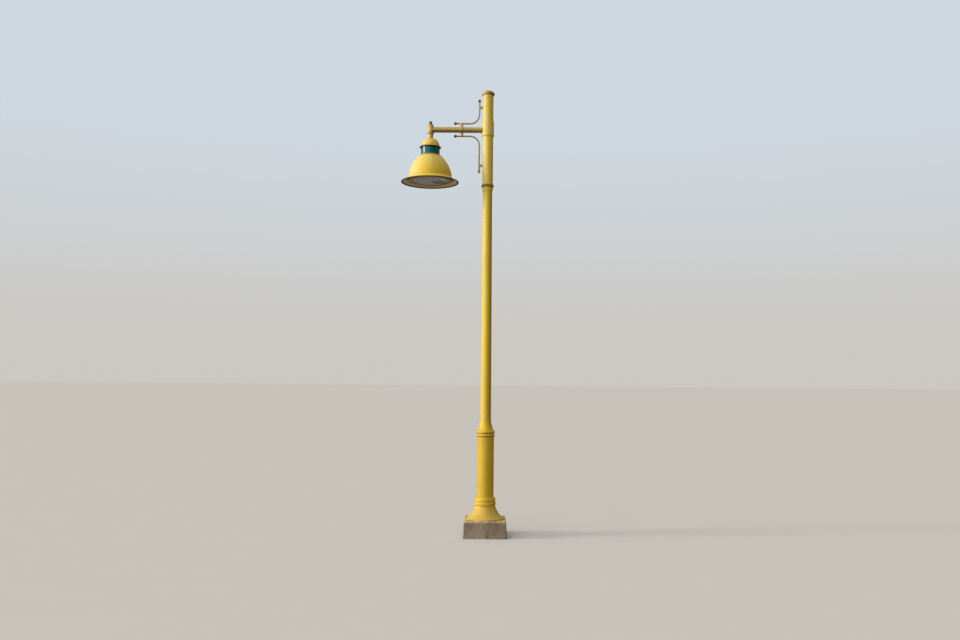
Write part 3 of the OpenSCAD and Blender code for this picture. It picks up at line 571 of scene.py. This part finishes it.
# Arm collar
# A close steel sleeve round the tube with a band at its foot. Two set screws at the back pinch
# it, and the arm is welded to its face.
ARM_Z, COLLAR_R = 4.5905, 0.0675


arm_collar_line = outline(
    (SLEEVE_R + TOUCH, -0.074, 0.0004), (0.0695, -0.074, 0.0012), (0.0695, -0.064, 0.0012),
    (COLLAR_R, -0.064, 0.001), (COLLAR_R, 0.097, 0.003), (SLEEVE_R + TOUCH, 0.097, 0.0004),
)
arm_collar = turned(arm_collar_line, (0, 0, ARM_Z))
fit(skin("arm_collar_sleeve", arm_collar), upper_yellow, "yellow_paint", "arm_collar")
set_screws = [button_head((0, COLLAR_R - 0.0011, ARM_Z + up), 0.0055, 0.003) for up in (-0.0355, 0.0595)]
fit(skin("collar_set_screws", *set_screws), bare_steel, "bare_steel")


# Arm and its welds
# A level steel tube, saddle cut at both ends to the collar and to the barrel, and welded all
# round. The beads keep the ripples of the weld under the paint.
REACH, BARREL_R, ARM_R = 0.660, 0.0345, 0.032


def saddle(radius, y):
    """How far an upright cylinder of that radius stands out at a distance y from its axis."""
    return np.sqrt(radius ** 2 - y ** 2)


def saddled_tube():
    """Tube along x: at turn t a row lies between the two saddles by its share, outer wall from
    post to lamp and inner wall back."""
    turn = np.arange(64) * 2 * math.pi / 64
    share = np.r_[np.linspace(0, 1, 44), np.linspace(1, 0, 6), 0][:, None]
    r = np.r_[np.full(44, ARM_R), np.full(6, ARM_R - 0.004), ARM_R][:, None]
    y, z = r * np.sin(turn), ARM_Z + r * np.cos(turn)
    near, far = -saddle(COLLAR_R + TOUCH, y), saddle(BARREL_R + TOUCH, y) - REACH
    return np.stack([near + (far - near) * share, y, z], -1), np.zeros(51)


def weld_bead(carrier, at, side, thick):
    """Fillet bead along a saddle: a small circle carried round the tube's end, its radius
    rippled 46 times."""
    turn = np.arange(180) * 2 * math.pi / 180
    section = np.linspace(0, 2 * math.pi, 13)[:, None]
    r = thick * (1 + 0.09 * np.cos(46 * turn))
    out = ARM_R + r * np.sin(section)
    x = at + side * (saddle(carrier, ARM_R * np.sin(turn)) + r * np.cos(section))
    return np.stack([x, out * np.sin(turn), ARM_Z + out * np.cos(turn)], -1), np.full(13, -0.25)


# The brown wash over the arm's lower half is painted shade.
arm_paint = stained_and_shaded("arm_enamel_painted_shade", (0.54, 0.38, 0.085), (0.40, 0.24, 0.05), (0.17, 0.09, 0.02),
                    ARM_Z + 0.0015, ARM_Z - 0.0205, 0.8)
fit(skin("arm_tube", saddled_tube()), arm_paint, "yellow_paint", "arm")
beads = [weld_bead(COLLAR_R, 0, -1, 0.0034), weld_bead(BARREL_R, -REACH, 1, 0.0028)]
fit(skin("arm_welds", *beads), arm_paint, "yellow_paint")


# Arm hub
# A turned steel ring pressed over the arm, with one stub up and one stub down, which carry the
# scroll rods. The ring is painted with the arm, the stubs in a duller yellow.
HUB_X, HUB_SEAT, ROD_OFF, ROD_R = 0.302, 0.034, 0.074, 0.0095


def stub(at, axis, length):
    """Turned stub: a lip at its foot, a waist, and a shallow cup round the rod at its end."""
    waist, lip = 0.017, 0.003
    line = outline(
        (0, 0), (waist + lip, 0, 0.0005), (waist + lip, lip, 0.001), (waist, 2 * lip, 0.002),
        (waist, length - 2 * lip - ROD_R / 2, 0.002), (waist + lip / 2, length - lip - ROD_R / 2, 0.001),
        (waist + lip / 2, length, 0.0006), (0, length), step=0.003, loop=False,
    )
    return turned(line, at, axis, 40)


dull_yellow = painted("dull_olive_enamel", (0.50, 0.42, 0.17), (0.60, 0.52, 0.27), (0.30, 0.23, 0.08))
hub_line = outline(
    (ARM_R + TOUCH, -0.021, 0.0003), (0.034, -0.021, 0.001), (0.038, -0.017, 0.0015),
    (0.038, 0.017, 0.0015), (0.034, 0.021, 0.001), (ARM_R + TOUCH, 0.021, 0.0003), step=0.002,
)
hub = turned(hub_line, (-HUB_X, 0, ARM_Z), (-1, 0, 0), 64)
fit(skin("arm_hub_ring", hub), arm_paint, "yellow_paint", "arm_hub")
stubs = [stub((-HUB_X, 0, ARM_Z + side * HUB_SEAT), (0, 0, side), ROD_OFF - HUB_SEAT) for side in (-1, 1)]
fit(skin("arm_hub_stubs", *stubs), dull_yellow, "yellow_paint")


# Scroll rods
# Two round steel bars, each bent once through a right angle, that run along the arm and then up
# or down beside the sleeve. Stubs hold them off the post, and a ball is pressed on every end.
ROD_X, BEND, ROD_REACH, BALL_R, PEG_X = 0.099, 0.107, 0.376, 0.0165, 0.054


def bent_bar(side, tip):
    """Bar in the plane y = 0: straight along the arm, a quarter circle, straight to its tip. The
    path's point p, its normal n in the plane and y give p + r (cos t n + sin t y)."""
    turn = np.linspace(-math.pi / 2, 0, 30)
    bend = np.c_[BEND * np.cos(turn) - ROD_X - BEND, BEND * np.sin(turn) + ROD_OFF + BEND]
    sunk = BALL_R / 2
    flat = np.c_[np.linspace(sunk - ROD_REACH, bend[0, 0], 12, endpoint=False), np.full(12, ROD_OFF)]
    rise = np.c_[np.full(12, -ROD_X), np.linspace(bend[-1, 1], tip - sunk, 13)[1:]]
    path = np.vstack([flat, bend, rise])
    ahead = np.gradient(path, axis=0)
    ahead /= np.linalg.norm(ahead, axis=1, keepdims=True)
    path = np.vstack([path[:1], path, path[-1:]])
    ahead = np.vstack([ahead[:1], ahead, ahead[-1:]])
    r = np.r_[0, np.full(len(path) - 2, ROD_R), 0][:, None]
    t = np.arange(28) * 2 * math.pi / 28
    x = path[:, :1] - ahead[:, 1:] * r * np.cos(t)
    z = path[:, 1:] + ahead[:, :1] * r * np.cos(t)
    return np.stack([x, r * np.sin(t), ARM_Z + side * z], -1), np.zeros(len(path))


def ball(r, middle, end):
    """Arc of a ball's outline from its top down to that turn."""
    turn = np.linspace(0, end, 26)
    return np.c_[r * np.sin(turn), middle + r * np.cos(turn)]


rod_paint = painted("grey_olive_enamel", (0.33, 0.30, 0.15), (0.46, 0.42, 0.26), (0.18, 0.15, 0.06),
                    gloss=0.44)
dark_paint = painted("dark_ball_enamel", (0.062, 0.028, 0.036), (0.12, 0.07, 0.075), (0.035, 0.016, 0.02),
                     runs=0.2, gloss=0.3)
# The lower tip ball is paler and pinker than the others: faded paint and painted sunlight.
rosy_paint = painted("faded_ball_enamel_painted_light", (0.36, 0.20, 0.20), (0.50, 0.34, 0.33), (0.10, 0.04, 0.045),
                     runs=0.3, gloss=0.4)
ball_line = outline(
    ball(BALL_R, 0, 2.45), (0.0118, -0.0145, 0.0008), (0.0118, -0.0162, 0.0006), (0, -0.0162),
    step=0.002, loop=False,
)[::-1]
for name, side, tip, peg_up, tip_paint in (("upper", 1, 0.341, 0.265, dark_paint),
                                           ("lower", -1, 0.484, 0.414, rosy_paint)):
    fit(skin(name + "_scroll_rod", bent_bar(side, tip)), rod_paint, "yellow_paint", name + "_rod")
    peg = stub((-PEG_X, 0, ARM_Z + side * peg_up), (-1, 0, 0), ROD_X - PEG_X)
    fit(skin(name + "_stand_off_stub", peg), dull_yellow, "yellow_paint", name + "_stand_off")
    end_ball = turned(ball_line, (-ROD_REACH, 0, ARM_Z + side * ROD_OFF), (-1, 0, 0), 40)
    fit(skin(name + "_end_ball_cast", end_ball), dark_paint, "dark_paint", name + "_end_ball")
    tip_ball = turned(ball_line, (-ROD_X, 0, ARM_Z + side * tip), (0, 0, side), 40)
    fit(skin(name + "_tip_ball_cast", tip_ball), tip_paint, "dark_paint", name + "_tip_ball")


# Barrel, knob and stem
# The upright end piece of the arm, a turned steel barrel with a band at its foot and a domed top
# that carries a dark ball. The stem below it is the tube that the lamp hangs from.
LAMP = (-REACH, 0, 0)
BARREL_Z, BARREL_TOP, STEM_Z = 4.5425, 4.6565, 4.4865
# The barrel's top is stained brown, a dark line runs round it just under the arm, and its side towards
# the post is darker, which is painted shade.
barrel_paint = stained_and_shaded("barrel_enamel_stained_and_shaded",
                       (0.69, 0.45, 0.085), (0.50, 0.29, 0.05), (0.36, 0.15, 0.07),
                       BARREL_Z + 0.0575, BARREL_Z + 0.1125, 0.8, BARREL_Z + 0.0175, 0.016 - REACH)
# The stem is darker at its top, under the barrel. Its side towards the post is darker too: painted shade.
stem_paint = stained_and_shaded("stem_enamel_painted_shade", (0.64, 0.46, 0.09), (0.50, 0.33, 0.05), (0.20, 0.13, 0.04),
                     BARREL_Z - 0.0125, BARREL_Z - 0.0015, 0.8, shadow_side=0.010 - REACH)
rusty_paint = painted("rusty_knob_enamel", (0.15, 0.055, 0.04), (0.22, 0.10, 0.08), (0.07, 0.03, 0.025),
                      gloss=0.34)
barrel_line = outline(
    (0, BARREL_Z), (0.0395, BARREL_Z, 0.0025), (0.0395, BARREL_Z + 0.013, 0.0025),
    (BARREL_R, BARREL_Z + 0.014, 0.001), quarter((BARREL_R, BARREL_TOP - 0.030), (0.0127, BARREL_TOP), 2),
    (0, BARREL_TOP), step=0.003, loop=False,
)
barrel = turned(barrel_line, LAMP, around=72)
fit(skin("barrel_body", barrel), barrel_paint, "yellow_paint", "barrel")
knob_line = outline(ball(0.019, 0.0143, 2.41), (0, TOUCH), step=0.002, loop=False)[::-1]
knob = turned(knob_line, (-REACH, 0, BARREL_TOP), around=40)
fit(skin("barrel_ball_knob", knob), rusty_paint, "dark_paint", "barrel_knob")
stem_h = BARREL_Z - STEM_Z
stem_line = outline(
    (0, 0), (0.034, 0, 0.0006), (0.034, 0.0025, 0.001), (0.029, 0.0065, 0.003), (0.029, stem_h),
    (0, stem_h), step=0.003, loop=False,
)
stem = turned(stem_line, (-REACH, 0, STEM_Z), around=64)
fit(skin("lamp_stem", stem), stem_paint, "yellow_paint", "stem")


# Dome cap and neck band
# A spun aluminium dome with a flat brim that keeps rain off the neck. The neck is a short drum
# painted green, with a rolled bead at its top and foot, and carries the lamp socket inside.
NECK_Z, NECK_H, DRIP_Z, BRIM_Z, DOME_Z = 4.2945, 0.090, 4.3785, 4.3845, 4.3965
# The brim's edge and underside are painted near black.
dome_paint = stained_and_shaded("dome_enamel_dark_brim", CHALKY, (0.62, 0.42, 0.06), (0.07, 0.045, 0.015),
                     BRIM_Z + 0.005, BRIM_Z - 0.001, 0.9)
dome_turn = math.acos(0.033 / 0.105)
dome_rise, dome_share = 0.090 / math.sin(dome_turn), dome_turn * 2 / math.pi
dome_line = outline(
    (0.100, BRIM_Z), (0.116, BRIM_Z, 0.001), (0.120, DRIP_Z, 0.001), (0.1235, DRIP_Z, 0.0015),
    (0.124, BRIM_Z, 0.003), (0.120, BRIM_Z + 0.004, 0.003), (0.113, BRIM_Z + 0.0075, 0.003),
    (0.109, BRIM_Z + 0.011, 0.002),
    quarter((0.105, DOME_Z + 0.0005), (0, DOME_Z + dome_rise), 2, 0, dome_share),
    (0, STEM_Z), (0, STEM_Z - 0.004),
    quarter((0.101, DOME_Z), (0, DOME_Z - 0.004 + dome_rise), 2, 0, dome_share)[::-1],
    (0.100, DOME_Z), step=0.003,
)
dome = turned(dome_line, LAMP, around=112)
fit(skin("dome_cap_spinning", dome), dome_paint, "yellow_paint", "dome_cap")
# The neck's top under the brim is darkened: painted shade from the brim.
green_paint = painted("green_band_enamel",
                      (0.002, 0.115, 0.135), (0.012, 0.16, 0.18), (0.001, 0.06, 0.075),
                      runs=0.3, gloss=0.15, dark_line_z=BRIM_Z - 0.0155, shine=0.26)
neck_line = outline(
    (0, 0), (0.1075, 0, 0.0006), half_round(0.1065, 0.004, 0.0015, 0.0035, 0.0006, 9),
    half_round(0.1065, NECK_H - 0.004, 0.0015, 0.0035, 0.0006, 9), (0.104, NECK_H, 0.0006),
    (0.104, 0.004), (0, 0.004), step=0.003, loop=False,
)
neck = turned(neck_line, (-REACH, 0, NECK_Z))
fit(skin("green_neck_drum", neck), green_paint, "green_paint", "neck_band")


# Shade
# The bell: one sheet of aluminium spun over a former, with a flat top, a round shoulder, two
# raised beads low on the bell and one high, and a flare whose edge is rolled into a bead.
RIM_Z, EDGE_R, ROLL_R, SHEET = 3.9728, 0.325, 0.005, 0.0025
EDGE_Z, BELL_Z, BELL_R, BELL_RISE, TOP_R = RIM_Z + ROLL_R, RIM_Z + 0.073, 0.247, 0.292, 0.113


def bell_side(inset):
    """Side of the bell, going up: a quarter curve of power 1.7 from the flare to the shoulder."""
    end = math.acos((TOP_R / BELL_R) ** 0.85) * 2 / math.pi
    return quarter((BELL_R - inset, BELL_Z), (0, BELL_Z + BELL_RISE - inset), 1.7, 0, end, 60)


def flare_side(shift):
    """Side of the flare, going down: a quarter curve of power 1.4 from the bell to the edge."""
    line = quarter((BELL_R - SHEET / 2 + shift, BELL_Z), (EDGE_R, EDGE_Z + shift), 1.4, points=40)
    return line[line[:, 0] < EDGE_R - 0.0055]


def beaded(line, shares, raised):
    """The line with bell shaped ridges pushed out square to it. A share is the ridge's height
    over the flare as a part of the bell's height; 21 extra points draw each ridge."""
    along = np.r_[0, np.cumsum(np.linalg.norm(np.diff(line, axis=0), axis=1))]
    heights = BELL_Z + np.array(shares) * (line[-1, 1] - BELL_Z)
    middle = np.interp(heights, line[:, 1], along)
    marks = np.unique(np.r_[along, (middle[:, None] + np.linspace(-0.009, 0.009, 21)).ravel()])
    line = np.c_[np.interp(marks, along, line[:, 0]), np.interp(marks, along, line[:, 1])]
    ahead = np.gradient(line, marks, axis=0)
    square = np.c_[ahead[:, 1], -ahead[:, 0]] / np.linalg.norm(ahead, axis=1, keepdims=True)
    ridge = np.exp(-((marks[:, None] - middle) / 0.0026) ** 2).sum(1)
    return line + raised * ridge[:, None] * square


def aged_spinning_painted_light():
    """The shade's enamel: fine spinning rings, pale chalk high on the bell, a painted sheen on its
    lit left side, a brighter band of painted light and a darker line low on the bell, pale dust
    that is partly a painted highlight and brown road film on the flare, a dark band round the
    neck's foot, a brown inner face that is partly painted shade, and painted shade under the
    rolled edge."""
    f = Finish("aged_spun_enamel_painted_light", Coat_Roughness=0.36, Specular_IOR_Level=0.4)
    z, cloud, mottle = f.axis("z"), f.noise(7, 4), f.noise(34, 5)
    chalk = (z + cloud * 0.10).between(RIM_Z + 0.1172, RIM_Z + 0.2872)
    # A brighter band low on the bell: painted light.
    band = z.between(RIM_Z + 0.1152, RIM_Z + 0.0892) * z.between(RIM_Z + 0.0632, RIM_Z + 0.0712)
    line = z.between(RIM_Z + 0.0712, RIM_Z + 0.0632) * z.between(RIM_Z + 0.0512, RIM_Z + 0.0572)
    # Pale dust low on the flare, partly a painted highlight along its lit top.
    dust = (z + cloud * 0.01).between(RIM_Z + 0.0602, RIM_Z + 0.0472)
    # Paler on the lit left side: a painted sheen.
    lit_side_sheen = f.axis("x").between(-0.08 - REACH, -0.20 - REACH)
    film = (z + cloud * 0.02 + mottle * 0.012).between(RIM_Z + 0.0352, RIM_Z + 0.0132)
    streak = f.noise(1, 4, (46, 46, 3.2), 0.6).between(0.52, 0.72)
    rings = f.noise(1, 3, (4, 4, 130)).between(0.5, 0.75)
    # Darker in the grooves: dirt and painted shade.
    groove = (-f.edge).between(0.05, 0.5) * (0.5 + mottle)
    chips = f.edge.between(0.55, 0.98) * f.noise(90, 5, None, 0.65).between(0.55, 0.6)
    # The inner face's brown: partly dirt, partly painted shade inside the flare.
    inner = f.add("ShaderNodeAttribute", {"attribute_name": "inner"}, out="Fac")
    # Dark under the rolled edge: painted shade.
    dirt = (z + mottle * 0.002).between(RIM_Z + 0.0117, RIM_Z + 0.0087)
    crown = (z + mottle * 0.006).between(NECK_Z - 0.0305, NECK_Z + 0.0035)
    colour = f.coats(
        (0.78, 0.53, 0.020),
        ((0.75, 0.57, 0.11), chalk),
        (OCHRE, mottle.between(0.5, 0.74) * 0.22),
        ((0.88, 0.58, 0.025), band * 0.8),
        ((0.34, 0.21, 0.02), line * 0.4),
        ((0.66, 0.50, 0.15), dust * 0.45),
        ((0.82, 0.67, 0.32), lit_side_sheen * 0.5),
        ((0.42, 0.21, 0.055), film * 0.35),
        ((0.34, 0.19, 0.04), streak * 0.2),
        (OCHRE, rings * 0.12),
        ((0.12, 0.065, 0.02), groove * 0.18),
        ((0.16, 0.075, 0.04), chips * 0.75),
        ((0.52, 0.33, 0.15), inner * (0.55 + mottle * 0.5)),
        ((0.065, 0.03, 0.002), dirt * 0.95),
        ((0.09, 0.085, 0.035), crown * 0.85),
    )
    normal = f.relief(f.noise(1, 2, (2, 2, 900)), 0.00008)
    normal = f.relief(f.noise(9, 2), 0.0022, normal)
    rough = 0.46 + mottle * 0.14 + film * 0.15 + streak * 0.12 + dirt * 0.25
    return f.feed(Base_Color=colour, Roughness=rough, Coat_Weight=0.12 - dirt * 0.12, Normal=normal)


roll = np.radians(np.linspace(194.5, 525.5, 26))
outer_side = np.vstack([flare_side(SHEET / 2)[::-1], bell_side(0)[1:]])
shade_line = outline(
    np.c_[EDGE_R + ROLL_R * np.cos(roll), EDGE_Z + ROLL_R * np.sin(roll)],
    beaded(outer_side, (0, 0.085, 0.905), 0.0021),
    (TOP_R - 0.001, NECK_Z, 0.002), (0.034, NECK_Z), (0.034, NECK_Z - SHEET),
    (TOP_R - SHEET, NECK_Z - SHEET), bell_side(SHEET)[::-1], flare_side(-SHEET / 2)[1:], step=0.0045,
)
bell = skin("bell_shade", turned(shade_line, LAMP, around=168))
shade = fit(bell, aged_spinning_painted_light(), "yellow_paint", "shade").data
# The shade's inner face is marked, so that its finish gives it a brown that is partly dirt and partly
# painted shade.
spot = np.empty(3 * len(shade.vertices))
shade.vertices.foreach_get("co", spot)
spot = spot.reshape(-1, 3) - LAMP
outer_r = np.interp(spot[:, 2], outer_side[:, 1], outer_side[:, 0])
inner = (np.hypot(spot[:, 0], spot[:, 1]) < outer_r - 0.6 * SHEET) & (spot[:, 2] < NECK_Z - SHEET / 2)
shade.attributes.new("inner", "FLOAT", "POINT").data.foreach_set("value", inner.astype(float))


# Reflector
# A bright spun aluminium dome on a flanged ring of the same sheet, which stands on the seat ring
# inside the bell. Years of heat have dulled it in patches.
MIRROR_R, MIRROR_RISE, MIRROR_Z, MIRROR_T, FOOT_H = 0.228, 0.241, RIM_Z + 0.049, 0.002, 0.060


def spun_aluminium():
    """Bright metal with fine turning rings, a duller film in clouds and a few water marks."""
    f = Finish("spun_aluminium", Metallic=1.0, Specular_IOR_Level=0.5)
    cloud, rings, marks = f.noise(12, 4), f.noise(1, 3, (3, 3, 1100)), f.noise(45, 5)
    colour = f.coats(
        (0.72, 0.72, 0.70),
        ((0.50, 0.49, 0.46), cloud.between(0.42, 0.7)),
        ((0.34, 0.30, 0.24), marks.between(0.6, 0.7) * 0.5),
    )
    rough = 0.24 + cloud * 0.22 + rings * 0.08
    return f.feed(Base_Color=colour, Roughness=rough, Normal=f.relief(rings, 0.0001))


def mirror_share(height):
    """Where the mirror's curve passes a height, as a share of its quarter turn."""
    return math.asin(height / MIRROR_RISE) * 2 / math.pi


def mirror_wall(out, low, high):
    """One face of the reflector between two heights above its foot."""
    r, h = MIRROR_R - MIRROR_T * (1 - out), MIRROR_T * out
    line = quarter((r, h), (0, h + MIRROR_RISE), 2, mirror_share(low - h), mirror_share(high - h))
    return line + (0, MIRROR_Z)


aluminium = spun_aluminium()
hole_rise = MIRROR_RISE * math.sqrt(1 - (0.0263 / MIRROR_R) ** 2)
mirror_foot, flange_r = FOOT_H + TOUCH, MIRROR_R + 0.010
mirror_line = outline(
    mirror_wall(1, mirror_foot, hole_rise + MIRROR_T), mirror_wall(0, mirror_foot, hole_rise)[::-1],
)
fit(skin("reflector_dome", turned(mirror_line, LAMP)), aluminium, "spun_aluminium", "reflector")
flange_line = outline(
    (flange_r, MIRROR_Z, 0.0005), (flange_r, MIRROR_Z + MIRROR_T, 0.0005),
    mirror_wall(1, MIRROR_T, FOOT_H), mirror_wall(0, 0, FOOT_H)[::-1],
)
fit(skin("reflector_foot_ring", turned(flange_line, LAMP)), aluminium, "spun_aluminium", "reflector_ring")


# Seat ring and gasket
# The seat ring is a flat painted ring fixed inside the flare. The black rubber gasket under it
# is what the lens door closes against. Both keep their CAD solids.
def black_rubber():
    """Moulded rubber with a grey bloom."""
    f = Finish("black_rubber", Specular_IOR_Level=0.35)
    bloom = f.noise(70, 5)
    colour = f.coats((0.018, 0.018, 0.018), ((0.07, 0.066, 0.06), bloom.between(0.45, 0.75)))
    normal = f.relief(f.noise(600, 3), 0.0001)
    return f.feed(Base_Color=colour, Roughness=0.6 + bloom * 0.25, Normal=normal)


# Brown like the shade's inner face: partly dirt, partly painted shade inside the flare.
seat_paint = painted("seat_ring_enamel", (0.44, 0.28, 0.11), (0.50, 0.35, 0.17), (0.28, 0.15, 0.05),
                     runs=0.3)
paint_over(seat_paint, "seat_ring")
paint_over(black_rubber(), "gasket")


# Lamp socket and bulb
# A glazed ceramic screw socket hangs from the neck's floor through the reflector's hole. The bulb
# is a large egg of frosted glass whose neck goes up into it.
def ivory_glaze():
    """Yellowed glaze with a fine crackle and stains."""
    f = Finish("ivory_glaze", Coat_Weight=0.6, Coat_Roughness=0.08)
    crackle, tint_share = f.noise(240, 4), f.noise(50, 4).between(0.55, 0.75)
    colour = f.coats((0.74, 0.70, 0.60), ((0.45, 0.38, 0.28), tint_share * 0.5))
    return f.feed(Base_Color=colour, Roughness=0.2 + crackle * 0.1, Normal=f.relief(crackle, 0.00008))


def frosted_glass():
    """Glass with a pale powder inside, in uneven patches."""
    f = Finish("frosted_bulb_glass", Transmission_Weight=0.45, IOR=1.45)
    powder = f.noise(55, 4)
    colour = f.coats((0.86, 0.86, 0.83), ((0.70, 0.68, 0.62), powder.between(0.45, 0.7) * 0.6))
    normal = f.relief(f.noise(400, 2), 0.00005)
    return f.feed(Base_Color=colour, Roughness=0.34 + powder * 0.15, Normal=normal)


paint_over(ivory_glaze(), "lamp_socket")
swell = np.linspace(1, 0, 30)
bulb_side = np.c_[0.0175 + 0.0285 * (1 - np.cos(math.pi * swell)) / 2, -0.087 * swell]
bulb_line = outline(
    quarter((0.046, -0.087), (0, -0.140), 2, points=24)[::-1], bulb_side[1:],
    (0.0195, 0, 0.0005), (0.0195, 0.041, 0.0005), (0, 0.041), step=0.004, loop=False,
)
bulb = turned(bulb_line, (-REACH, 0, NECK_Z - 0.078), around=64)
fit(skin("egg_bulb", bulb), frosted_glass(), "bulb_glass", "lamp_bulb")


# Hinge bracket, door ring, pin and closing screw
# The door is a cast ring with two hinge eyes and a lug. It swings down about the pin, held by a
# bracket under the seat ring, and a steel screw keeps it shut. These keep their solids.
door_paint = painted("door_ring_enamel", (0.20, 0.14, 0.05), (0.29, 0.21, 0.09), (0.10, 0.06, 0.02),
                     runs=0.3)
paint_over(door_paint, "hinge_bracket", "door_ring")
paint_over(bare_steel, "hinge_pin", "closing_screw")


# Lens
# The flat disc of toughened glass in the door's ring, hazed by years of dust and insects, with
# pale streaks of painted reflection on one side and a darker patch on the other.
def dusty_glass_painted_light():
    """Clear glass under a brown grey film whose share varies, so lamp and reflector show through.
    Pale streaks on the film are a painted reflection. The film is darkest along the door's ring,
    by the distance from the lamp's axis, which is dirt and painted shade from the ring, and in
    one smudge towards the post, by the distance from its middle."""
    f = Finish("dusty_lens_glass_painted_light")
    # Pale streaks: a painted reflection.
    reflection_streaks = f.noise(1, 4, (5.5, 26, 5)).between(0.40, 0.66)
    patch, speck = f.noise(6.5, 4), f.noise(95, 5)
    x, y = f.axis("x"), f.axis("y")
    side = (x + y * 0.8 + patch * 0.12).between(-0.72, -0.42)
    # Darker along the door's ring: dirt and painted shade from the ring.
    rim = (((x + REACH) ** 2 + y ** 2) ** 0.5 + speck * 0.01).between(0.195, 0.222)
    smudge_x, smudge_y = 0.10 - REACH, 0.065
    smudge = (((x - smudge_x) ** 2 + (y - smudge_y) ** 2) ** 0.5 + patch * 0.1).between(0.16, 0.10)
    tone = f.coats(
        (0.27, 0.225, 0.15),
        ((0.06, 0.055, 0.04), side * patch.between(0.36, 0.56) * 0.9),
        ((0.80, 0.68, 0.56), reflection_streaks * (0.12 + side * 0.4)),
        ((0.10, 0.09, 0.06), speck.between(0.56, 0.64) * 0.4),
        ((0.045, 0.045, 0.04), smudge * 0.8),
        ((0.05, 0.032, 0.008), rim * 0.9),
    )
    glass = f.surface(Base_Color=(0.86, 0.85, 0.76, 1), Transmission_Weight=1.0, IOR=1.5, Roughness=0.05)
    film = f.surface(Base_Color=tone, Roughness=0.75)
    share = 0.42 + reflection_streaks * 0.3 + speck * 0.2 - side * 0.12 + rim * 0.5 + smudge * 0.35
    return f.show(f.add("ShaderNodeMixShader", {}, [share, glass, film]))


lens_r, lens_t = 0.2375, 0.005
lens_line = outline(
    (0, 0), (lens_r, 0, 0.0006), (lens_r, lens_t, 0.0006), (0, lens_t), step=0.02, loop=False,
)
lens = turned(lens_line, (-REACH, 0, RIM_Z + 0.01875))
fit(skin("lens_disc", lens), dusty_glass_painted_light(), "lens_glass", "lens", body="lens_door")


# Studio
# A plain pale floor and a pale surround. One soft light stands low on the left, where the light
# came from in the photograph. A wide glow on the left in front and faint ones above and below
# fill in.
FLOOR, HORIZON, ZENITH = (0.66, 0.64, 0.61), (0.60, 0.575, 0.535), (0.62, 0.68, 0.74)
SUN_SIDE, SUN_HEIGHT, SUN_ANGLE, GLOW_SIDE = np.radians((82, 14, 14, 50))

mesh = bpy.data.meshes.new("floor")
corners = [(-400, -400, 0), (400, -400, 0), (400, 400, 0), (-400, 400, 0)]
mesh.from_pydata(corners, [], [(0, 1, 2, 3)])
floor = bpy.data.objects.new("floor", mesh)
bpy.context.scene.collection.objects.link(floor)
plaster = Finish("floor_plaster", Roughness=0.85)
cloudy = plaster.coats(FLOOR, (darker(FLOOR, 0.94), plaster.noise(2, 4)))
mesh.materials.append(plaster.feed(Base_Color=cloudy))
floor.visible_diffuse = False

light = bpy.data.lights.new("soft_sun", "SUN")
light.energy, light.angle, light.color = 2.15, SUN_ANGLE, (1.0, 0.95, 0.86)
sun = bpy.data.objects.new("soft_sun", light)
towards = Vector((-math.sin(SUN_SIDE), -math.cos(SUN_SIDE), math.tan(SUN_HEIGHT)))
sun.rotation_euler = towards.to_track_quat("Z", "Y").to_euler()
bpy.context.scene.collection.objects.link(sun)

world = bpy.data.worlds.new("pale_surround")
sky = Nodes(world)
ways = sky.add("ShaderNodeTexCoord", out="Generated")
up = sky.add("ShaderNodeSeparateXYZ", {}, [ways], "Z")
middle = Vector((-math.sin(GLOW_SIDE), -math.cos(GLOW_SIDE), 0.3)).normalized()
glow = sky.add("ShaderNodeVectorMath", {"operation": "DOT_PRODUCT"}, [ways, middle], "Value")
faint = 0.02 + up.between(0.0, 0.9) * 0.62 + up.between(-0.3, -0.9) * 0.36
faint = faint + glow.between(0.36, 1.0) * 1.22
fill =sky.add("ShaderNodeBackground", {}, {"Color": (1.0, 0.99, 0.95, 1), "Strength": faint})
backdrop = sky.coats(HORIZON, (ZENITH, up.between(0.0, 0.3)))
seen = sky.add("ShaderNodeBackground", {}, {"Color": backdrop, "Strength": 1.0})
straight = sky.add("ShaderNodeLightPath", out="Is Camera Ray")
sky.add("ShaderNodeOutputWorld", {}, [sky.add("ShaderNodeMixShader", {}, [straight, fill, seen])])
bpy.context.scene.world = world
bpy.context.scene.view_settings.view_transform = "Standard"


# Camera
# Where the photograph was taken from: eye height on the ground in front of the post, tilted up a
# little and rolled by half a degree, with the photograph's lens.
view = bpy.data.cameras.new("photo_camera")
view.sensor_width, view.lens = 36.0, 33.0
camera = bpy.data.objects.new("photo_camera", view)
place = Matrix.Translation((-0.073, -9.94, 1.70))
tilt, roll_angle = math.radians(90 + 4.04), math.radians(0.5)
camera.matrix_world = place @ Matrix.Rotation(tilt, 4, "X") @ Matrix.Rotation(roll_angle, 4, "Z")
bpy.context.scene.collection.objects.link(camera)
bpy.context.scene.camera = camera
